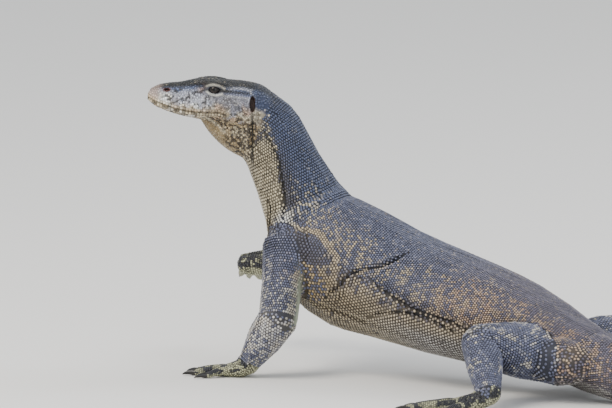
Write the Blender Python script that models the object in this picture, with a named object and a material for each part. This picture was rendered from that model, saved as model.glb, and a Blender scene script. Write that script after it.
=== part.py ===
"""A life-size water monitor lizard, standing with its head raised, as a still museum model.

Metres, +Z up, head towards -X, tail towards +X, the animal's left side towards -Y.
The flesh is lofted from a few stations along the spine and each limb, joined by Boolean
unions and parted at the neck, shoulders, hips, elbows, wrists and along the tail.
"""

import math

import bmesh
import bpy
import numpy as np
from mathutils import Matrix, Vector

GAP = 0.0003
FLOOR_SINK = 0.0012
TAU = 2 * math.pi

# The spine: x, y, z of the widest level, half width, height above it, depth below it.
NECK_STATIONS = (
    (-0.0800, -0.0320, 0.2850, 0.0300, 0.0355, 0.0280),
    (-0.0600, -0.0220, 0.2660, 0.0322, 0.0395, 0.0365),
    (-0.0465, -0.0160, 0.2435, 0.0340, 0.0385, 0.0385),
    (-0.0362, -0.0110, 0.2215, 0.0375, 0.0395, 0.0410),
    (-0.0273, -0.0070, 0.2004, 0.0425, 0.0430, 0.0435),
    (-0.0170, -0.0030, 0.1781, 0.0480, 0.0480, 0.0490),
)
TRUNK_STATIONS = (
    (0.0020, 0.0000, 0.1530, 0.0540, 0.0560, 0.0720),
    (0.0450, 0.0040, 0.1230, 0.0620, 0.0660, 0.0750),
    (0.1000, 0.0090, 0.1010, 0.0690, 0.0640, 0.0615),
    (0.1750, 0.0110, 0.0830, 0.0740, 0.0590, 0.0540),
    (0.2370, 0.0070, 0.0730, 0.0680, 0.0530, 0.0490),
    (0.2910, 0.0010, 0.0640, 0.0560, 0.0440, 0.0420),
    (0.3370, -0.0040, 0.0530, 0.0440, 0.0360, 0.0360),
)
TAIL_STATIONS = (
    (0.3800, -0.0080, 0.0430, 0.0360, 0.0310, 0.0360),
    (0.4400, -0.0150, 0.0350, 0.0300, 0.0295, 0.0362),
    (0.5200, -0.0260, 0.0310, 0.0250, 0.0290, 0.0322),
    (0.6400, -0.0360, 0.0275, 0.0200, 0.0270, 0.0287),
    (0.7900, -0.0180, 0.0240, 0.0155, 0.0240, 0.0252),
    (0.9400, 0.0430, 0.0200, 0.0118, 0.0200, 0.0212),
    (1.0900, 0.1200, 0.0155, 0.0084, 0.0150, 0.0167),
    (1.2300, 0.1640, 0.0110, 0.0054, 0.0100, 0.0122),
    (1.3400, 0.1640, 0.0062, 0.0026, 0.0048, 0.0074),
)
SPINE = NECK_STATIONS + TRUNK_STATIONS + TAIL_STATIONS
# Places along the spine, counted in stations, where one node ends and the next begins.
NECK_END = 4.6
TORSO_END = 12.9
TAIL_CUTS = (15.2, 17.0, 18.9)
TAIL_KEEL = 0.0030
SPINE_AROUND = 24
SPINE_SQUARENESS = 2.15
# Rings in each length, neck first, and the ring of the neck from which the limbs are trimmed.
SPINE_COUNTS = (13, 19, 7, 8, 8, 8)
TRIM_FROM = 4

# The head: forward distance from the ear plane, half width, top, mouth line and chin heights.
HEAD_STATIONS = (
    (-0.0300, 0.0220, 0.0060, -0.0110, -0.0250),
    (-0.0180, 0.0300, 0.0180, -0.0105, -0.0325),
    (-0.0050, 0.0332, 0.0252, -0.0100, -0.0345),
    (0.0100, 0.0338, 0.0270, -0.0092, -0.0325),
    (0.0250, 0.0330, 0.0266, -0.0088, -0.0285),
    (0.0400, 0.0304, 0.0256, -0.0090, -0.0245),
    (0.0550, 0.0268, 0.0252, -0.0112, -0.0222),
    (0.0700, 0.0226, 0.0218, -0.0128, -0.0214),
    (0.0850, 0.0190, 0.0166, -0.0124, -0.0201),
    (0.1000, 0.0158, 0.0130, -0.0100, -0.0172),
    (0.1100, 0.0125, 0.0094, -0.0080, -0.0143),
    (0.1150, 0.0095, 0.0060, -0.0064, -0.0114),
    (0.1180, 0.0062, 0.0030, -0.0054, -0.0088),
    (0.1194, 0.0024, -0.0010, -0.0048, -0.0066),
)
HEAD_PLACE = (-0.0699, -0.0294, 0.2934)
HEAD_YAW = math.radians(35)
HEAD_PITCH = math.radians(8)
MOUTH_CORNER = 0.030
LIP_GROOVE = 0.0016
LIP_EDGE = 0.0009
LIP_FADE = 0.006
LIP_FULL_WIDTH = 0.009
SKULL_SQUARENESS = 2.7
JAW_SQUARENESS = 2.25
JAW_WIDTH = 0.985
HEAD_RINGS = 27
SKULL_POINTS = 15
JAW_POINTS = 9

# Places on the head are forward, left and up from the ear plane; an ellipsoid is a place and half sizes.
THROAT_SLOPE = math.radians(-36)
THROAT = ((0.0270, 0, -0.0320), (0.0400, 0.0260, 0.0152))
JOWL = ((0.0020, 0, -0.0260), (0.0360, 0.0315, 0.0225))
NOSTRIL = ((0.0993, 0.0142, 0.0068), (0.0034, 0.0030, 0.0017))
NOSTRIL_SLANT = math.radians(-12)
NOSTRIL_TURN = math.radians(8)
EAR_CUP = ((0.0028, 0.0335, 0.0062), (0.0036, 0.0060, 0.0094))
EAR_LEAN = math.radians(8)
NECK_CUT_AT = (-0.0130, 0, 0)
NECK_CUT_LEAN = math.radians(12)

EYE_FORWARD = 0.0466
EYE_UP = 0.0150
EYE_RADIUS = 0.0072
EYE_SIDE = 0.0196
# Each lid: up or down, rise at its middle, half length, half thickness.
EYELIDS = ((1, 0.0048, 0.0084, 0.0022), (-1, 0.0044, 0.0073, 0.0019))
LID_SINK = 0.0008
BROW_PATH = (
    (0.0780, 0.0120, 0.0140),
    (0.0630, 0.0172, 0.0200),
    (0.0480, 0.0198, 0.0222),
    (0.0340, 0.0205, 0.0210),
    (0.0150, 0.0200, 0.0165),
)
BROW_SIZES = ((0.0020, 0.0020), (0.0042, 0.0028), (0.0058, 0.0034), (0.0050, 0.0034), (0.0022, 0.0022))

# Limb joints: shoulder or hip, elbow or knee, wrist or ankle.
LIMBS = {
    "foreleg_left": ((-0.018, -0.040, 0.146), (0.000, -0.083, 0.067), (-0.032, -0.094, 0.017)),
    "foreleg_right": ((-0.008, 0.040, 0.146), (-0.062, 0.078, 0.104), (-0.137, 0.054, 0.101)),
    "hindleg_left": ((0.326, -0.024, 0.047), (0.282, -0.098, 0.066), (0.318, -0.137, 0.020)),
    "hindleg_right": ((0.322, 0.024, 0.044), (0.344, 0.118, 0.056), (0.398, 0.142, 0.020)),
}
FORE_RADII = (0.0285, 0.0240, 0.0226, 0.0208, 0.0132)
HIND_RADII = (0.0275, 0.0315, 0.0222, 0.0200, 0.0138)

# Toes, inner to outer: length, angle from the foot's heading, root place across the foot.
FORE_TOES = (
    (0.020, -42, -0.0105, 0.022),
    (0.029, -20, -0.0065, 0.027),
    (0.034, -2, 0.0000, 0.029),
    (0.033, 17, 0.0065, 0.027),
    (0.025, 44, 0.0105, 0.021),
)
HIND_TOES = (
    (0.020, -34, -0.0110, 0.030),
    (0.031, -18, -0.0070, 0.037),
    (0.041, -4, -0.0005, 0.040),
    (0.050, 10, 0.0065, 0.039),
    (0.036, 46, 0.0120, 0.022),
)
TOE_RADIUS = 0.0050
CLAW_LENGTH = 0.0145
CLAW_RADIUS = 0.0027
CLAW_ARC = ((0.40, 0.0006), (0.76, -0.0002), (1.0, -0.0016))
PALM_TAPER = ((0.86, 1.45), (0.95, 1.20), (1.0, 1.0), (0.82, 0.72))
CLAW_TAPER = ((0.80, 1.10), (0.62, 0.95), (0.40, 0.60), (0.12, 0.16))
PALM_HALF_WIDTH = 0.0150
PALM_HALF_HEIGHT = 0.0085
FORE_PALM = 0.030
HIND_PALM = 0.042
RAISED_FOOT_DROP = 0.010
LIMB_FLATNESS = 0.92
LIMB_SQUARENESS = 2.1

# The muscle at each limb's root, from the shoulder or hip joint outwards.
ROOT_SHIFTS = {"foreleg": (0.014, 0.003, -0.002), "hindleg": (0.018, 0.016, -0.002)}
ROOT_SIZES = {"foreleg": (0.0350, 0.0190, 0.0270), "hindleg": (0.0440, 0.0300, 0.0270)}

# Which way each foot points, in degrees from +X, how far its toes dip and how wide they spread.
FOOT_AIMS = {
    "forefoot_left": (190, 0, 1.0),
    "forefoot_right": (112, 16, 0.5),
    "hindfoot_left": (206, 0, 1.0),
    "hindfoot_right": (122, 0, 1.0),
}
LIMB_KINDS = (
    ("foreleg", FORE_RADII, ("upper_arm", "forearm"), "forefoot", FORE_TOES),
    ("hindleg", HIND_RADII, ("thigh", "shin"), "hindfoot", HIND_TOES),
)

SKIN_DARK = ("monitor_skin", (0.075, 0.078, 0.088), 0.55)
HORN = ("claw_horn", (0.030, 0.026, 0.024), 0.35)
EYE_DARK = ("eye_cornea", (0.020, 0.016, 0.012), 0.08)


def clear_scene():
    for obj in list(bpy.data.objects):
        bpy.data.objects.remove(obj)


def material(spec):
    name, colour, roughness = spec
    made = bpy.data.materials.get(name)
    if made is None:
        made = bpy.data.materials.new(name)
        made.use_nodes = True
        shader = made.node_tree.nodes["Principled BSDF"]
        shader.inputs["Base Color"].default_value = (*colour, 1)
        shader.inputs["Roughness"].default_value = roughness
        shader.inputs["Metallic"].default_value = 0
    return made


def smooth(knots, values, at):
    """A cubic curve through values at the knots, read at the places in at."""
    knots, values, at = (np.asarray(x, float) for x in (knots, values, at))
    slopes = np.gradient(values, knots, axis=0)
    k = np.clip(np.searchsorted(knots, at, side="right") - 1, 0, len(knots) - 2)
    step = knots[k + 1] - knots[k]
    u = (at - knots[k]) / step
    if values.ndim > 1:
        u, step = u[:, None], step[:, None]
    return (
        (1 + 2 * u) * (1 - u) ** 2 * values[k]
        + u * (1 - u) ** 2 * step * slopes[k]
        + u * u * (3 - 2 * u) * values[k + 1]
        - u * u * (1 - u) * step * slopes[k + 1]
    )


def path_frames(points, at, side_hint=None):
    """Centres, tangents, sides and ups on a smooth path at the places in at; level sides if no hint."""
    knots = np.arange(len(points))
    ahead, behind = (smooth(knots, points, np.clip(at + d, 0, knots[-1])) for d in (0.01, -0.01))
    tangent = ahead - behind
    tangent /= np.linalg.norm(tangent, axis=1)[:, None]
    if side_hint is None:
        side = np.cross((0, 0, 1), tangent)
    else:
        side = side_hint - (tangent @ side_hint)[:, None] * tangent
    side /= np.linalg.norm(side, axis=1)[:, None]
    return smooth(knots, points, at), tangent, side, np.cross(tangent, side)


def oval(angle, width, above, below, squareness=2.0):
    """A superellipse whose upper and lower halves differ in height."""
    power = 2 / squareness
    across = width * np.sign(np.cos(angle)) * np.abs(np.cos(angle)) ** power
    height = np.where(np.sin(angle) > 0, above, below)
    return across, height * np.sign(np.sin(angle)) * np.abs(np.sin(angle)) ** power


def mesh_object(name, points, faces, look):
    mesh = bpy.data.meshes.new(name)
    mesh.from_pydata([tuple(p) for p in points], [], faces)
    tidy = bmesh.new()
    tidy.from_mesh(mesh)
    bmesh.ops.recalc_face_normals(tidy, faces=tidy.faces)
    if tidy.calc_volume(signed=True) < 0:
        bmesh.ops.reverse_faces(tidy, faces=tidy.faces)
    tidy.to_mesh(mesh)
    tidy.free()
    obj = bpy.data.objects.new(name, mesh)
    bpy.context.scene.collection.objects.link(obj)
    obj.data.materials.append(material(look))
    return obj


def loft(name, rings, look=SKIN_DARK):
    """A closed body from a stack of rings, each a closed line of as many points, with flat ends."""
    count, around = rings.shape[:2]
    faces = [
        (
            r * around + k,
            r * around + (k + 1) % around,
            (r + 1) * around + (k + 1) % around,
            (r + 1) * around + k,
        )
        for r in range(count - 1)
        for k in range(around)
    ]
    faces.append(tuple(range(around)))
    faces.append(tuple((count - 1) * around + k for k in range(around)))
    return mesh_object(name, rings.reshape(-1, 3), faces, look)


def rings_along(frame, across, height, gaps=(0, 0)):
    """Rings across a path, the first and last moved inwards along it by the gaps."""
    centres, tangent, side, up = frame
    centres = centres.copy()
    centres[0] += tangent[0] * gaps[0]
    centres[-1] -= tangent[-1] * gaps[1]
    return centres[:, None] + side[:, None] * across[..., None] + up[:, None] * height[..., None]


def spine_rings(at, grow=0.0, gaps=(0.0, 0.0)):
    """Rings of the body at places counted in stations, with a low double keel along the tail."""
    spine = np.array(SPINE)
    width, above, below = smooth(range(len(spine)), spine[:, 3:], at).T[:, :, None] + grow
    angle = TAU * (np.arange(SPINE_AROUND) + 0.5) / SPINE_AROUND
    across, height = oval(angle[None, :], width, above, below, SPINE_SQUARENESS)
    tail_start = len(NECK_STATIONS + TRUNK_STATIONS)
    keel = TAIL_KEEL * np.clip((at - tail_start) / 2, 0, 1) * np.clip((len(spine) - 1 - at) / 2, 0, 1)
    height = height + keel[:, None] * np.clip((np.sin(angle) - 0.9) / 0.1, 0, 1)[None, :]
    return rings_along(path_frames(spine[:, :3], at), across, height, gaps)


def head_matrix():
    forward = Vector(
        (
            -math.cos(HEAD_YAW) * math.cos(HEAD_PITCH),
            -math.sin(HEAD_YAW) * math.cos(HEAD_PITCH),
            math.sin(HEAD_PITCH),
        )
    )
    left = Vector((math.sin(HEAD_YAW), -math.cos(HEAD_YAW), 0))
    up = forward.cross(left)
    turned = Matrix((forward, left, up)).transposed().to_4x4()
    return Matrix.Translation(HEAD_PLACE) @ turned


def head_rings():
    """Rings of the skull and jaw: a boxy upper arc, a groove along the mouth, a rounder lower arc."""
    knots = [row[0] for row in HEAD_STATIONS]
    spread = np.linspace(0, 1, HEAD_RINGS)
    at = knots[0] + (knots[-1] - knots[0]) * (1 - (1 - spread) ** 1.5)
    _, width, top, mouth, chin = smooth(knots, HEAD_STATIONS, at).T
    narrow = width / LIP_FULL_WIDTH
    groove = LIP_GROOVE * np.clip((at - MOUTH_CORNER) / LIP_FADE, 0, 1) * np.clip(narrow, 0, 1)
    edge = LIP_EDGE * np.clip(narrow, 0.3, 1)
    upper = np.linspace(0, math.pi, SKULL_POINTS)
    lower = np.linspace(math.pi, TAU, JAW_POINTS)
    rings = []
    for k in range(HEAD_RINGS):
        rise, fall = top[k] - mouth[k] - edge[k], mouth[k] - chin[k] - edge[k]
        y, z = oval(upper, width[k], rise, rise, SKULL_SQUARENESS)
        jaw_y, jaw_z = oval(lower, width[k] * JAW_WIDTH, fall, fall, JAW_SQUARENESS)
        y = np.concatenate([y, [groove[k] - width[k]], jaw_y, [width[k] - groove[k]]])
        z = np.concatenate([z + edge[k], [0], jaw_z - edge[k], [0]]) + mouth[k]
        rings.append(np.stack([np.full_like(y, at[k]), y, z], 1))
    return np.array(rings)


def in_place(obj, matrix):
    obj.data.transform(matrix)
    obj.data.update()
    return obj


def ellipsoid(name, place, half_sizes, turn=(0, 0, 0), segments=16, rings=10):
    mesh = bpy.data.meshes.new(name)
    ball = bmesh.new()
    bmesh.ops.create_uvsphere(ball, u_segments=segments, v_segments=rings, radius=1)
    ball.to_mesh(mesh)
    ball.free()
    obj = bpy.data.objects.new(name, mesh)
    bpy.context.scene.collection.objects.link(obj)
    obj.data.materials.append(material(SKIN_DARK))
    turned = Matrix.Rotation(turn[2], 4, "Z") @ Matrix.Rotation(turn[1], 4, "Y")
    turned = turned @ Matrix.Rotation(turn[0], 4, "X")
    sized = Matrix.Diagonal((*half_sizes, 1))
    return in_place(obj, Matrix.Translation(place) @ turned @ sized)


def tube(name, points, sizes, count, around, span=None, side_hint=None, gaps=(0, 0), look=SKIN_DARK):
    """A tapered tube along a span of a path; sizes are (half width, half height) at each point."""
    start, end = span or (0, len(points) - 1)
    at = np.linspace(start, end, count)
    half = smooth(range(len(points)), sizes, at)
    angle = TAU * (np.arange(around) + 0.5) / around
    across, height = oval(angle[None, :], half[:, :1], half[:, 1:], half[:, 1:], LIMB_SQUARENESS)
    points = np.array(points, float)
    return loft(name, rings_along(path_frames(points, at, side_hint), across, height, gaps), look)


def box(name, low, high):
    mesh = bpy.data.meshes.new(name)
    cube = bmesh.new()
    bmesh.ops.create_cube(cube, size=1)
    cube.to_mesh(mesh)
    cube.free()
    obj = bpy.data.objects.new(name, mesh)
    bpy.context.scene.collection.objects.link(obj)
    low, high = Vector(low), Vector(high)
    sized = Matrix.Diagonal((*(high - low), 1))
    return in_place(obj, Matrix.Translation((low + high) / 2) @ sized)


def boolean(obj, others, operation):
    """Joins or cuts obj by all the others at once, applied, keeping only the largest closed surface."""
    group = bpy.data.collections.new("pieces")
    for other in others:
        group.objects.link(other)
    step = obj.modifiers.new(operation, "BOOLEAN")
    step.operation = operation
    step.operand_type = "COLLECTION"
    step.collection = group
    step.solver = "MANIFOLD"
    graph = bpy.context.evaluated_depsgraph_get()
    made = bpy.data.meshes.new_from_object(obj.evaluated_get(graph))
    obj.modifiers.clear()
    obj.data = made
    bpy.data.collections.remove(group)
    for other in others:
        bpy.data.objects.remove(other)
    keep_largest(obj)
    return obj


def keep_largest(obj):
    """Drops every closed surface but the one with the most volume."""
    body = bmesh.new()
    body.from_mesh(obj.data)
    bmesh.ops.remove_doubles(body, verts=body.verts, dist=1e-6)
    left, shells = set(body.faces), []
    while left:
        shell, edge_of = set(), [next(iter(left))]
        while edge_of:
            face = edge_of.pop()
            if face in shell:
                continue
            shell.add(face)
            edge_of += [f for e in face.edges for f in e.link_faces if f not in shell]
        left -= shell
        shells.append(shell)
    if len(shells) > 1:
        sizes = [sum(f.calc_area() for f in shell) for shell in shells]
        best = shells[sizes.index(max(sizes))]
        loose = [f for shell in shells if shell is not best for f in shell]
        bmesh.ops.delete(body, geom=loose, context="FACES")
    body.to_mesh(obj.data)
    body.free()


def copy_of(obj, name):
    made = bpy.data.objects.new(name, obj.data.copy())
    bpy.context.scene.collection.objects.link(made)
    return made


def neck_plane(side):
    """Everything on one side of the plane behind the ears, for parting the head and the neck."""
    place = head_matrix()
    lean = Vector((math.cos(NECK_CUT_LEAN), 0, math.sin(NECK_CUT_LEAN))) * side
    return half_space(place @ Vector(NECK_CUT_AT), place.to_3x3() @ lean)


def eyelid(side, sign, rise, half_length, thickness):
    """One lid: a tapered tube bowed over the eyeball from the front corner to the back corner."""
    points, sizes = [], []
    for share in np.linspace(-1, 1, 7):
        forward = half_length * share
        lift = sign * rise * (1 - share * share) ** 0.8 + 0.0002
        depth = math.sqrt(EYE_RADIUS**2 - min(forward**2 + lift**2, EYE_RADIUS**2 * 0.98))
        points.append((EYE_FORWARD + forward, side * (EYE_SIDE + depth - LID_SINK), EYE_UP + lift))
        sizes.append((thickness * (1 - 0.4 * share * share),) * 2)
    return tube("lid", points, sizes, 9, 8)


def brow(side):
    """The bony ridge that runs over the eye from the snout to the temple."""
    return tube("brow", [(x, side * y, z) for x, y, z in BROW_PATH], BROW_SIZES, 9, 8)


def mirrored(place, side):
    return place[0], side * place[1], place[2]


def build_head(neck_loft):
    place = head_matrix()
    head = loft("head", head_rings())
    pieces = [
        ellipsoid("throat", *THROAT, (0, THROAT_SLOPE, 0), 18, 12),
        ellipsoid("jowl", *JOWL, (0, THROAT_SLOPE, 0), 16, 10),
    ]
    for side in (1, -1):
        pieces.append(brow(side))
        pieces += [eyelid(side, *lid) for lid in EYELIDS]
    for piece in pieces:
        in_place(piece, place)
    in_place(head, place)
    neck_loft.name = "neck_loft"
    pieces.append(neck_loft)
    boolean(head, pieces, "UNION")
    neck = copy_of(head, "neck_whole")
    cutters = [neck_plane(-1)]
    for side in (1, -1):
        eye = (EYE_FORWARD, side * EYE_SIDE, EYE_UP)
        slant = (0, NOSTRIL_SLANT, side * NOSTRIL_TURN)
        hollows = (
            ellipsoid("socket", eye, (EYE_RADIUS + GAP,) * 3, segments=16, rings=12),
            ellipsoid("nostril", mirrored(NOSTRIL[0], side), NOSTRIL[1], slant, 10, 6),
            ellipsoid("ear_cup", mirrored(EAR_CUP[0], side), EAR_CUP[1], (0, EAR_LEAN, 0), 14, 8),
        )
        cutters += [in_place(hollow, place) for hollow in hollows]
    boolean(head, cutters, "DIFFERENCE")
    boolean(neck, [neck_plane(1)], "DIFFERENCE")
    head.name, neck.name = "head", "neck"
    return head, neck


def build_eye(name, side):
    eye = ellipsoid(name, (EYE_FORWARD, side * EYE_SIDE, EYE_UP), (EYE_RADIUS,) * 3, segments=14, rings=10)
    eye.data.materials.clear()
    eye.data.materials.append(material(EYE_DARK))
    return in_place(eye, head_matrix())


def build_axis():
    """The neck, torso and tail lengths, each a loft that meets the next on a flat section."""
    half = GAP / 2
    cuts = (0.0, NECK_END, TORSO_END, *TAIL_CUTS, len(SPINE) - 1)
    names = ("neck", "torso", "tail_base", "tail_front", "tail_rear", "tail_tip")
    places = [np.linspace(a, b, n) for a, b, n in zip(cuts, cuts[1:], SPINE_COUNTS)]
    nodes = {}
    for name, at in zip(names, places):
        gaps = (0 if name == "neck" else half, 0 if name == "tail_tip" else half)
        nodes[name] = loft(name, spine_rings(at, gaps=gaps))
    whole = np.unique(np.concatenate(places[:3]))
    return nodes, loft("axis_fat", spine_rings(whole[TRIM_FROM:], grow=GAP * 1.3))


def unit(vector):
    return np.asarray(vector, float) / np.linalg.norm(vector)


def build_limb(side, kind, axis_fat):
    """One limb joined whole, then parted at its elbow or knee and at its wrist or ankle."""
    limb, radii, bones, foot, toes = kind
    top, middle, end = (np.array(joint) for joint in LIMBS[f"{limb}_{side}"])
    heading, dip, spread = FOOT_AIMS[f"{foot}_{side}"]
    heading, dip = math.radians(heading), math.radians(dip)
    level = np.array((math.cos(heading), math.sin(heading), 0))
    ahead = level * math.cos(dip) - np.array((0, 0, math.sin(dip)))
    bend = unit(np.cross(top - middle, end - middle))
    pieces = [
        tube("bone", (a, a * 0.55 + b * 0.45, b), flattened(sizes), 6, 14, None, bend)
        for a, b, sizes in ((top, middle, radii[:3]), (middle, end, radii[2:]))
    ]
    for joint, radius in ((middle, radii[2]), (end, radii[4])):
        pieces.append(ellipsoid("joint", joint, (radius * 1.01,) * 3, (0, 0.3, 0.2), 12, 8))
    mirror = 1 if side == "left" else -1
    pieces.append(ellipsoid("root", top + np.array(ROOT_SHIFTS[limb]) * (1, -mirror, 1), ROOT_SIZES[limb]))
    foot_pieces, claws = build_foot(f"{foot}_{side}", end, ahead, mirror, toes, spread)
    whole = boolean(pieces.pop(0), pieces + foot_pieces, "UNION")
    knee = unit(unit(top - middle) - unit(end - middle))
    ankle = unit(unit(middle - end) - ahead)
    upper, lower = copy_of(whole, "upper"), copy_of(whole, "lower")
    trims = [half_space(middle, -knee), copy_of(axis_fat, "trim")]
    boolean(upper, trims, "DIFFERENCE")
    boolean(lower, [half_space(middle, knee)], "DIFFERENCE")
    boolean(lower, [half_space(end, -ankle)], "DIFFERENCE")
    trims = [half_space(end, ankle)] + ([] if dip else [half_space((0, 0, -GAP / 2), (0, 0, -1))])
    for trim in trims:
        boolean(whole, [trim], "DIFFERENCE")
    for obj, name in zip((upper, lower, whole), (*bones, foot)):
        obj.name = f"{name}_{side}"
    return [upper, lower, whole, *claws]


def flattened(radii):
    return [(radius * LIMB_FLATNESS, radius) for radius in radii]


def build_foot(name, wrist, ahead, mirror, toes, spread):
    """A palm and five toes as loose pieces, and a claw for each toe as a node of its own."""
    side = unit(np.cross((0, 0, 1), ahead))
    up = np.cross(ahead, side)
    drop = wrist[2] if ahead[2] == 0 else RAISED_FOOT_DROP
    length = FORE_PALM if toes is FORE_TOES else HIND_PALM
    level = PALM_HALF_HEIGHT - FLOOR_SINK - drop
    sole = TOE_RADIUS * 0.86 - FLOOR_SINK - drop

    def spot(forward, across, height):
        return wrist + ahead * forward + side * across * mirror + up * height

    palm_points = (
        spot(-0.002, 0, -0.001),
        spot(length * 0.34, 0, level * 0.75),
        spot(length * 0.68, 0, level),
        spot(length, 0, level - 0.001),
    )
    palm_sizes = [(PALM_HALF_WIDTH * w, PALM_HALF_HEIGHT * h) for w, h in PALM_TAPER]
    pieces = [tube("palm", palm_points, palm_sizes, 7, 14, None, side)]
    claws = []
    for number, (reach, angle, across, root) in enumerate(toes, 1):
        angle = math.radians(angle) * spread
        wide = TOE_RADIUS * (1.04 if reach > 0.03 else 0.94)
        stretch = ((-0.008, level - 0.002), (reach * 0.18, (level + sole) / 2 + 0.002))
        stretch += ((reach * 0.58, sole + 0.0028), (reach, sole + 0.0004))
        stretch += tuple((reach + CLAW_LENGTH * far, sole + lift) for far, lift in CLAW_ARC)
        points = [
            spot(root + math.cos(angle) * far, across + math.sin(angle) * far, height)
            for far, height in stretch
        ]
        toe_side = side * math.cos(angle) - ahead * math.sin(angle) * mirror
        toe_sizes = [(wide * k, wide * k) for k in (1, 1, 0.92, 0.74, 0.7, 0.6, 0.5)]
        pieces.append(tube("toe", points, toe_sizes, 7, 8, (0, 3), toe_side))
        claw_sizes = [(CLAW_RADIUS, CLAW_RADIUS)] * 3
        claw_sizes += [(CLAW_RADIUS * w, CLAW_RADIUS * h) for w, h in CLAW_TAPER]
        claw_name = f"{name}_claw_{number}"
        claws.append(tube(claw_name, points, claw_sizes, 5, 6, (3, 6), toe_side, (GAP, 0), HORN))
    return pieces, claws


def half_space(place, normal):
    """A big block on the normal's side of a plane, half a gap early, so two cuts leave one gap."""
    reach = 1.5
    block = box("cut", (-reach, -reach, -GAP / 2), (reach, reach, reach))
    turn = Vector(normal).to_track_quat("Z", "Y").to_matrix().to_4x4()
    return in_place(block, Matrix.Translation(place) @ turn)


def centre_on_floor(objects):
    """Moves the whole animal so that the origin is under the middle of its box, at the floor."""
    corners = np.array([v.co for o in objects for v in o.data.vertices])
    low, high = corners.min(0), corners.max(0)
    shift = Matrix.Translation((-(low[0] + high[0]) / 2, -(low[1] + high[1]) / 2, -low[2]))
    for obj in objects:
        in_place(obj, shift)


def build():
    clear_scene()
    axis, axis_fat = build_axis()
    head, neck = build_head(axis.pop("neck"))
    nodes = [head, neck, *axis.values()]
    nodes += [build_eye("eye_left", 1), build_eye("eye_right", -1)]
    for side in ("left", "right"):
        for kind in LIMB_KINDS:
            nodes += build_limb(side, kind, axis_fat)
    bpy.data.objects.remove(axis_fat)
    for name, node in axis.items():
        if name.startswith("tail"):
            boolean(node, [half_space((0, 0, -GAP / 2), (0, 0, -1))], "DIFFERENCE")
    centre_on_floor(nodes)
    group = bpy.data.collections.new("water_monitor")
    bpy.context.scene.collection.children.link(group)
    for node in nodes:
        for owner in node.users_collection:
            owner.objects.unlink(node)
        group.objects.link(node)


build()
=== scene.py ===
# %% [markdown]
# # A water monitor, scale by scale
#
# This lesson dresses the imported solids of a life-size water monitor lizard. The real animal
# is one elastic skin over muscle, covered by tens of thousands of small horny scales that lie
# in rows round the body. We make the same two layers: one soft skin, and a coat of scales,
# each a low dome of its own, so that light breaks on real edges and not on a painted pattern.
#
# The first cell loads the frame, which holds the solids in their place and at their real size.

# %% Load the frame
import math
import time

import bmesh
import bpy
import numpy as np
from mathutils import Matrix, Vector
from mathutils.bvhtree import BVHTree
from mathutils.kdtree import KDTree


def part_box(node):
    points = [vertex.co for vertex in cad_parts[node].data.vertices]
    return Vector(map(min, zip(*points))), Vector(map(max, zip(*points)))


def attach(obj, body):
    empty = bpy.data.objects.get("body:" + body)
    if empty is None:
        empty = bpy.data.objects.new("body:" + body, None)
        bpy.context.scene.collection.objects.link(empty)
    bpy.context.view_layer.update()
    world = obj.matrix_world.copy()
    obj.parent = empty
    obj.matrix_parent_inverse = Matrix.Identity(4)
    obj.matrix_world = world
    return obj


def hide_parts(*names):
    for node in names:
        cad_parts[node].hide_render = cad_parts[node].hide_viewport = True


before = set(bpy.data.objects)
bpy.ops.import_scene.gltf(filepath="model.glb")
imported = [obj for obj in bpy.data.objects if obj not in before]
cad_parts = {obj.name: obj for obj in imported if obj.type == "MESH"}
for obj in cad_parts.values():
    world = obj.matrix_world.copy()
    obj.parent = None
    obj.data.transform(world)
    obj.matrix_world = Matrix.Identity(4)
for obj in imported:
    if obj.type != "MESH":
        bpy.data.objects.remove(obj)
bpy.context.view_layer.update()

started = time.time()
TAU = 2 * math.pi


def report(*words):
    """Prints what a cell made and after how many seconds of the lesson."""
    print(*words, "at", round(time.time() - started, 1), "s")


# %% [markdown]
# ## The sizes of the animal
#
# A lizard is easiest to describe along its spine: where the axis is, and how wide and how deep
# the body is around it. The solids were lofted from the same stations, so the skin lies where
# they are. The head has stations and axes of its own, because it turns on the neck. The solids
# were moved so that their box stands over the origin, and we read that step off the left eye.

# %% Stations of the spine and the head
# in mm: x, y, z of the axis, half width, height above it, depth below it
SPINE = np.array((
    (-80, -32, 285, 30, 35.5, 28),
    (-60, -22, 266, 32.2, 39.5, 36.5),
    (-46.5, -16, 243.5, 34, 38.5, 38.5),
    (-36.2, -11, 221.5, 37.5, 39.5, 41),
    (-27.3, -7, 200.4, 42.5, 43, 43.5),
    (-17, -3, 178.1, 48, 48, 49),
    (2, 0, 153, 54, 56, 72),
    (45, 4, 123, 62, 66, 75),
    (100, 9, 101, 69, 64, 61.5),
    (175, 11, 83, 74, 59, 54),
    (237, 7, 73, 68, 53, 49),
    (291, 1, 64, 56, 44, 42),
    (337, -4, 53, 44, 36, 36),
    (380, -8, 43, 36, 31, 36),
    (440, -15, 35, 30, 29.5, 36.2),
    (520, -26, 31, 25, 29, 32.2),
    (640, -36, 27.5, 20, 27, 28.7),
    (790, -18, 24, 15.5, 24, 25.2),
    (940, 43, 20, 11.8, 20, 21.2),
    (1090, 120, 15.5, 8.4, 15, 16.7),
    (1230, 164, 11, 5.4, 10, 12.2),
    (1340, 164, 6.2, 2.6, 4.8, 7.4),
)) / 1000
LAST = len(SPINE) - 1
TAIL_START, TAIL_KEEL, SPINE_SQUARENESS = 13, 0.0030, 2.15

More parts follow.
